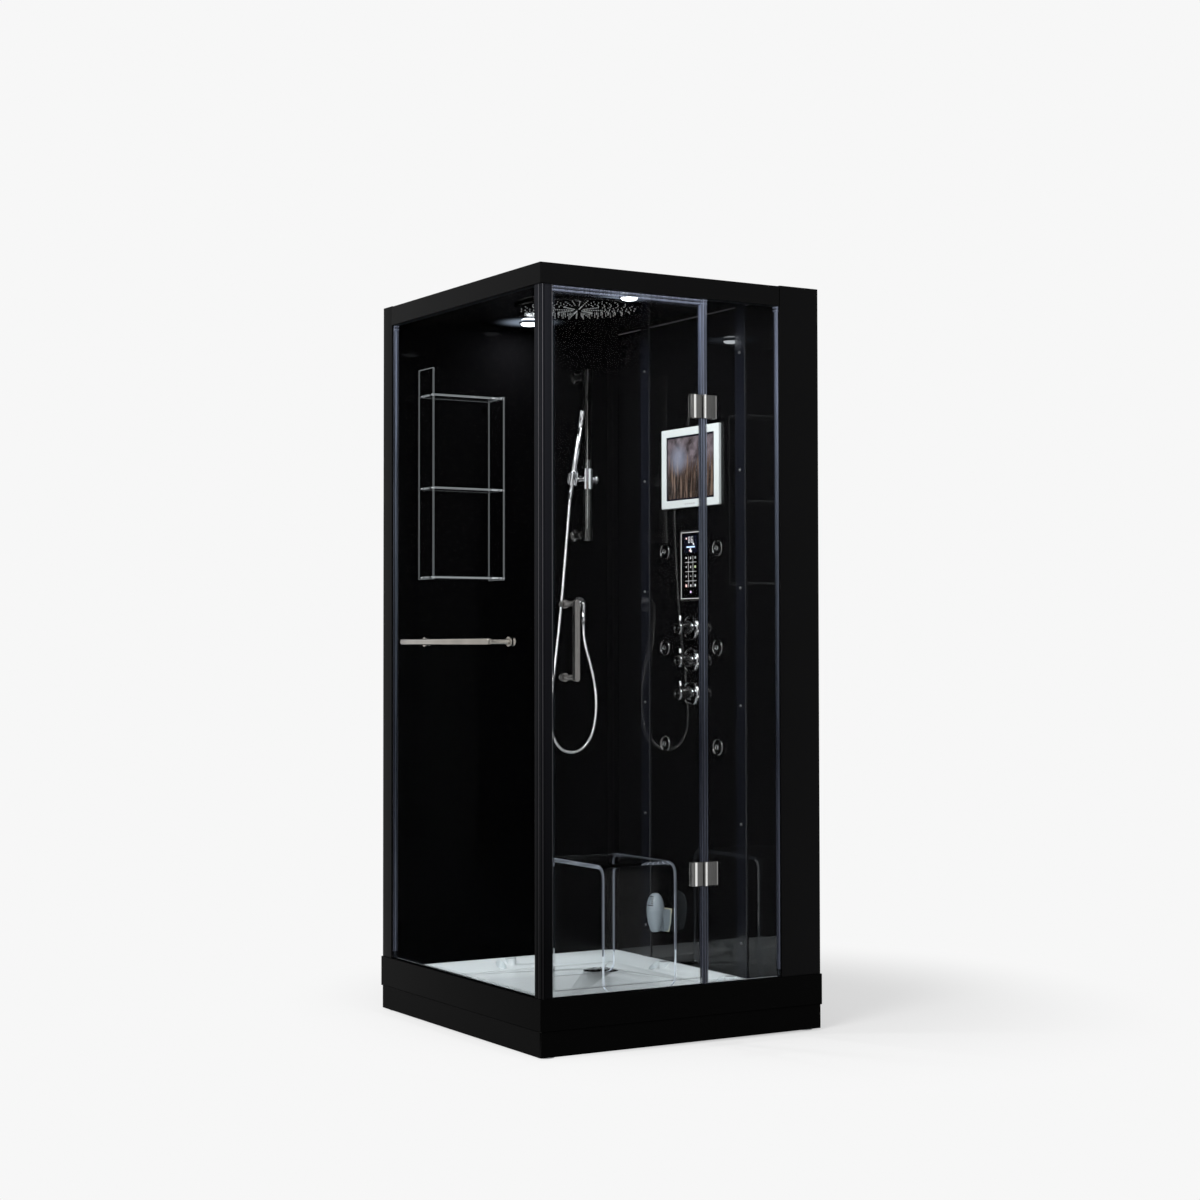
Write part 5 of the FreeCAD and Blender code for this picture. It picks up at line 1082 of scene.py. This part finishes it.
def addSteamGasket():
    # thin cream line where the cup meets the wall
    low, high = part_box("steam_cup")
    middle = (low.y + high.y) / 2
    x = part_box("service_panels")[0].x - steamGasket["sunk"]
    half = steamGasket["half"]
    outline = [*half, *((-y, z) for y, z in reversed(half))]
    bm = bmesh.new()
    face = bm.faces.new([bm.verts.new((x, middle + y, z)) for y, z in outline])
    made = bmesh.ops.extrude_face_region(bm, geom=[face])
    moved = [v for v in made["geom"] if isinstance(v, bmesh.types.BMVert)]
    bmesh.ops.translate(bm, verts=moved, vec=intoRoom * steamGasket["thickness"])
    finishMesh(bm, "steamGasket", "gasketCream", "cabin")


pockets = {
    "radius": 0.0178, "floor": 0.1114, "sheet": 0.0008, "lip": 0.0004, "steps": 20,
    "foot": 0.018, "footHeight": 0.110, "fall": 32 / 41, "inner": 0.004, "mouth": 0.97,
    "places": (((-0.1070, 0.4080), (0, 1, 0)),
               ((0.3230, 0.1510), (1, 0, 0)),
               ((0.3230, -0.2130), (1, 0, 0))),
}


def addTrayPockets():
    # moulded lining of the notches in the tray's slopes
    radius, steps = pockets["radius"], pockets["steps"]
    bm = bmesh.new()
    for (x, y), way in pockets["places"]:
        outward = Vector(way)
        aside = Vector((-outward.y, outward.x, 0))
        centre = Vector((x, y, pockets["floor"]))
        low, high = [], []
        for i in range(steps + 1):
            turn = math.pi * (i / steps - 0.5)
            reach = radius * math.cos(turn)
            spot = centre + outward * reach + aside * radius * math.sin(turn)
            rise = pockets["footHeight"] + (pockets["foot"] + reach) * pockets["fall"]
            low.append(bm.verts.new(spot))
            high.append(bm.verts.new((spot.x, spot.y, rise - pockets["lip"])))
        for i in range(steps):
            bm.faces.new((low[i], low[i + 1], high[i + 1], high[i]))
        ends = [bm.verts.new(centre - outward * pockets["inner"] + aside * radius * share)
                for share in (pockets["mouth"], -pockets["mouth"])]
        bm.faces.new(low + ends)
    bmesh.ops.recalc_face_normals(bm, faces=bm.faces)
    bmesh.ops.solidify(bm, geom=bm.faces[:], thickness=pockets["sheet"])
    finishMesh(bm, "trayPockets", "acrylicWhite", bodyOf["tray"])


domeVents = {"rows": 5, "first": 0.3262, "pitch": 0.0068, "height": 0.0034, "from": 168,
             "step": 9, "steps": 7, "away": 0.2, "proud": 0.00025}


def addDomeVents():
    # short slots of painted shade on the side of the steam dome that faces the door: thin dark
    # patches on its face
    low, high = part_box("steam_dome")
    bm = bmesh.new()
    bm.from_mesh(frame["nodes"]["steam_dome"].data)
    dome = BVHTree.FromBMesh(bm)
    bm.free()
    bm = bmesh.new()
    for row in range(domeVents["rows"]):
        bottom = domeVents["first"] + row * domeVents["pitch"]
        spots = []
        for step in range(domeVents["steps"]):
            turn = math.radians(domeVents["from"] + step * domeVents["step"])
            way = Vector((math.cos(turn), math.sin(turn), 0))
            for level in (bottom, bottom + domeVents["height"]):
                start = Vector(((low.x + high.x) / 2, (low.y + high.y) / 2, level))
                point, normal = dome.ray_cast(start + way * domeVents["away"], -way)[:2]
                spots.append(bm.verts.new(point + normal * domeVents["proud"])
                             if point else None)
        for k in range(0, len(spots) - 2, 2):
            corners = (spots[k], spots[k + 2], spots[k + 3], spots[k + 1])
            if all(corners):
                bm.faces.new(corners)
    finishMesh(bm, "domeVents", "rubber", "cabin")


beads = {"width": 0.0011, "proud": 0.0004, "fromFront": 0.0125, "fromSide": 0.005,
         "topGap": 0.001, "sealant": (0.0012, 0.0002), "sealantEnds": (0.02, 0.003),
         "sealantDrop": (0.0018, 0.0002)}


def addBeads():
    # thin strips of painted highlight on the arrises beside the post's corner, and the sealant
    # line under the ceiling; painted light makes both lighter towards the top
    low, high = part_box("corner_post")
    w, p = beads["width"], beads["proud"]
    first, second, top = low.y + beads["fromFront"], low.x + beads["fromSide"], beads["topGap"]
    bm = bmesh.new()
    for x0, x1, y0, y1 in ((low.x - p, low.x + p, first, first + w),
                           (second, second + w, low.y - p, low.y + p),
                           (high.x - w, high.x, low.y - p, low.y + p)):
        addBlock(bm, x0, x1, y0, y1, low.z, high.z - top)
    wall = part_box("service_panels")[0].x
    ceiling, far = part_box("ceiling_panel")
    out, back = beads["sealant"]
    front, rear = beads["sealantEnds"]
    drop, gap = beads["sealantDrop"]
    addBlock(bm, wall - out, wall - back, ceiling.y + front, far.y - rear, ceiling.z - drop,
             ceiling.z - gap)
    finishMesh(bm, "edgeHighlightBeads", "beadGrey", "cabin")


seamHighlights = {"width": 0.0014, "proud": 0.0003, "inset": 0.001, "rise": 0.0012}


def addSeamHighlight():
    # painted highlight: a fine light strip where the skirts meet the band, on the two open sides,
    # standing for the light caught by the seam
    low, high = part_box("base_band")
    proud, inset = seamHighlights["proud"], seamHighlights["inset"]
    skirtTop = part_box("skirts")[1].z
    z = (max(low.z, skirtTop) if skirtTop < high.z else low.z) + seamHighlights["rise"]
    bm = bmesh.new()
    for x0, x1, y0, y1 in ((low.x + inset, high.x - inset, low.y, low.y + proud),
                           (low.x, low.x + proud, low.y + inset, high.y - inset)):
        addBlock(bm, x0, x1, y0, y1, z, z + seamHighlights["width"])
    finishMesh(bm, "seamHighlight", "seamHighlight", "cabin")


addRainNozzles()
addBeads()
addTrimScrews()
addLampLenses()
addScreenPicture()
addScreenKeys()
addPanelMarks()
addValveDetails()
addJetRings()
addBezelRings()
addShelfClips()
addDrainSlots()
addSteamGasket()
addTrayPockets()
addDomeVents()
addSeamHighlight()
print("small fittings made")


# hose

hose = {
    "radius": 0.0065, "ribPitch": 0.0034, "ribDepth": 0.0007, "sides": 14,
    # how deep the four rings of each rib lie, as shares of its depth
    "ribShape": (0.0, 0.0, 0.6, 1.0),
    "nutSteps": 28,
    "upperNut": ((0.0072, -0.0002), (0.0092, 0.0004), (0.0098, 0.004), (0.0096, 0.012),
                 (0.0086, 0.020), (0.0072, 0.027), (0.0066, 0.028)),
    "lowerNut": ((0.0066, -0.022), (0.0074, -0.0215), (0.0086, -0.012), (0.0094, -0.001),
                 (0.0092, 0.0002)),
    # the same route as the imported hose
    "route": [
        (0.1400, 0.36998, 1.68366), (0.1400, 0.37706, 1.65864), (0.1379, 0.3810, 1.6000),
        (0.1326, 0.3846, 1.5280), (0.1270, 0.3871, 1.4500), (0.1204, 0.3889, 1.3700),
        (0.1126, 0.3900, 1.2900), (0.1034, 0.3909, 1.2080), (0.0930, 0.3917, 1.1260),
        (0.0830, 0.3922, 1.0460), (0.0756, 0.3925, 0.9680), (0.0750, 0.3927, 0.9080),
        (0.0840, 0.3930, 0.8630), (0.1080, 0.3932, 0.8290), (0.1430, 0.3934, 0.8120),
        (0.1840, 0.3937, 0.8150), (0.2180, 0.3942, 0.8380), (0.2415, 0.3949, 0.8770),
        (0.2540, 0.3956, 0.9300), (0.2570, 0.3966, 0.9880), (0.2500, 0.3976, 1.0450),
        (0.2370, 0.3987, 1.0980), (0.2225, 0.4004, 1.1460), (0.2130, 0.4022, 1.1840),
        (0.2100, 0.4030, 1.2160), (0.2100, 0.4030, 1.2460),
    ],
}


def smoothRoute(points):
    curve = bpy.data.curves.new("hoseRoute", "CURVE")
    curve.dimensions = "3D"
    spline = curve.splines.new("NURBS")
    spline.points.add(len(points) - 1)
    for target, spot in zip(spline.points, points):
        target.co = (*spot, 1)
    spline.order_u = 3
    spline.use_endpoint_u = True
    spline.resolution_u = 24
    holder = bpy.data.objects.new("hoseRoute", curve)
    scene.collection.objects.link(holder)
    bpy.context.view_layer.update()
    mesh = bpy.data.meshes.new_from_object(holder)
    line = [v.co.copy() for v in mesh.vertices]
    bpy.data.objects.remove(holder)
    bpy.data.meshes.remove(mesh)
    return line


def evenly(line, step):
    # points at equal steps along a line, and its last point
    spots = [line[0].copy()]
    spare = 0.0
    for a, b in zip(line, line[1:]):
        span = (b - a).length
        while span > 1e-9 and spare + span >= step:
            share = (step - spare) / span
            a = a.lerp(b, share)
            span = (b - a).length
            spots.append(a.copy())
            spare = 0.0
        spare += span
    spots.append(line[-1].copy())
    return spots


def addHose():
    line = smoothRoute(hose["route"])
    spots = evenly(line, hose["ribPitch"] / len(hose["ribShape"]))
    bm = bmesh.new()
    rings = []
    side = Vector((1, 0, 0))
    for index, spot in enumerate(spots):
        ahead = spots[min(index + 1, len(spots) - 1)] - spots[max(index - 1, 0)]
        ahead.normalize()
        side = (side - ahead * side.dot(ahead)).normalized()
        up = ahead.cross(side)
        turn = Matrix((side, up, ahead)).transposed().to_4x4()
        sunk = hose["ribDepth"] * hose["ribShape"][index % len(hose["ribShape"])]
        made = bmesh.ops.create_circle(bm, segments=hose["sides"],
                                       radius=hose["radius"] - sunk,
                                       matrix=Matrix.Translation(spot) @ turn)
        rings.append(made["verts"])
    for first, second in zip(rings, rings[1:]):
        count = len(first)
        for i in range(count):
            bm.faces.new((first[i], first[(i + 1) % count], second[(i + 1) % count], second[i]))
    bm.faces.new(list(reversed(rings[0])))
    bm.faces.new(rings[-1])
    mesh = bpy.data.meshes.new("showerHoseShape")
    bm.to_mesh(mesh)
    bm.free()
    smoothMesh(mesh, 60)
    mesh.materials.append(finishes["hoseSteel"])
    tube = bpy.data.objects.new("showerHose", mesh)
    scene.collection.objects.link(tube)
    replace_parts(tube, "shower_hose")
    return tube, [tuple(p) for p in line]


def addHoseNuts():
    foot = Vector(hose["route"][0])
    down = (Vector(hose["route"][1]) - foot).normalized()
    upper = spunFitting("hoseNutUpper", "chrome", "wand", hose["upperNut"], [foot],
                        down, hose["nutSteps"])
    lower = spunFitting("hoseNutLower", "chrome", "cabin", hose["lowerNut"],
                        [Vector(hose["route"][-1])], upward, hose["nutSteps"])
    return upper, lower


hoseTube, hosePath = addHose()
nuts = addHoseNuts()
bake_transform(hoseTube)
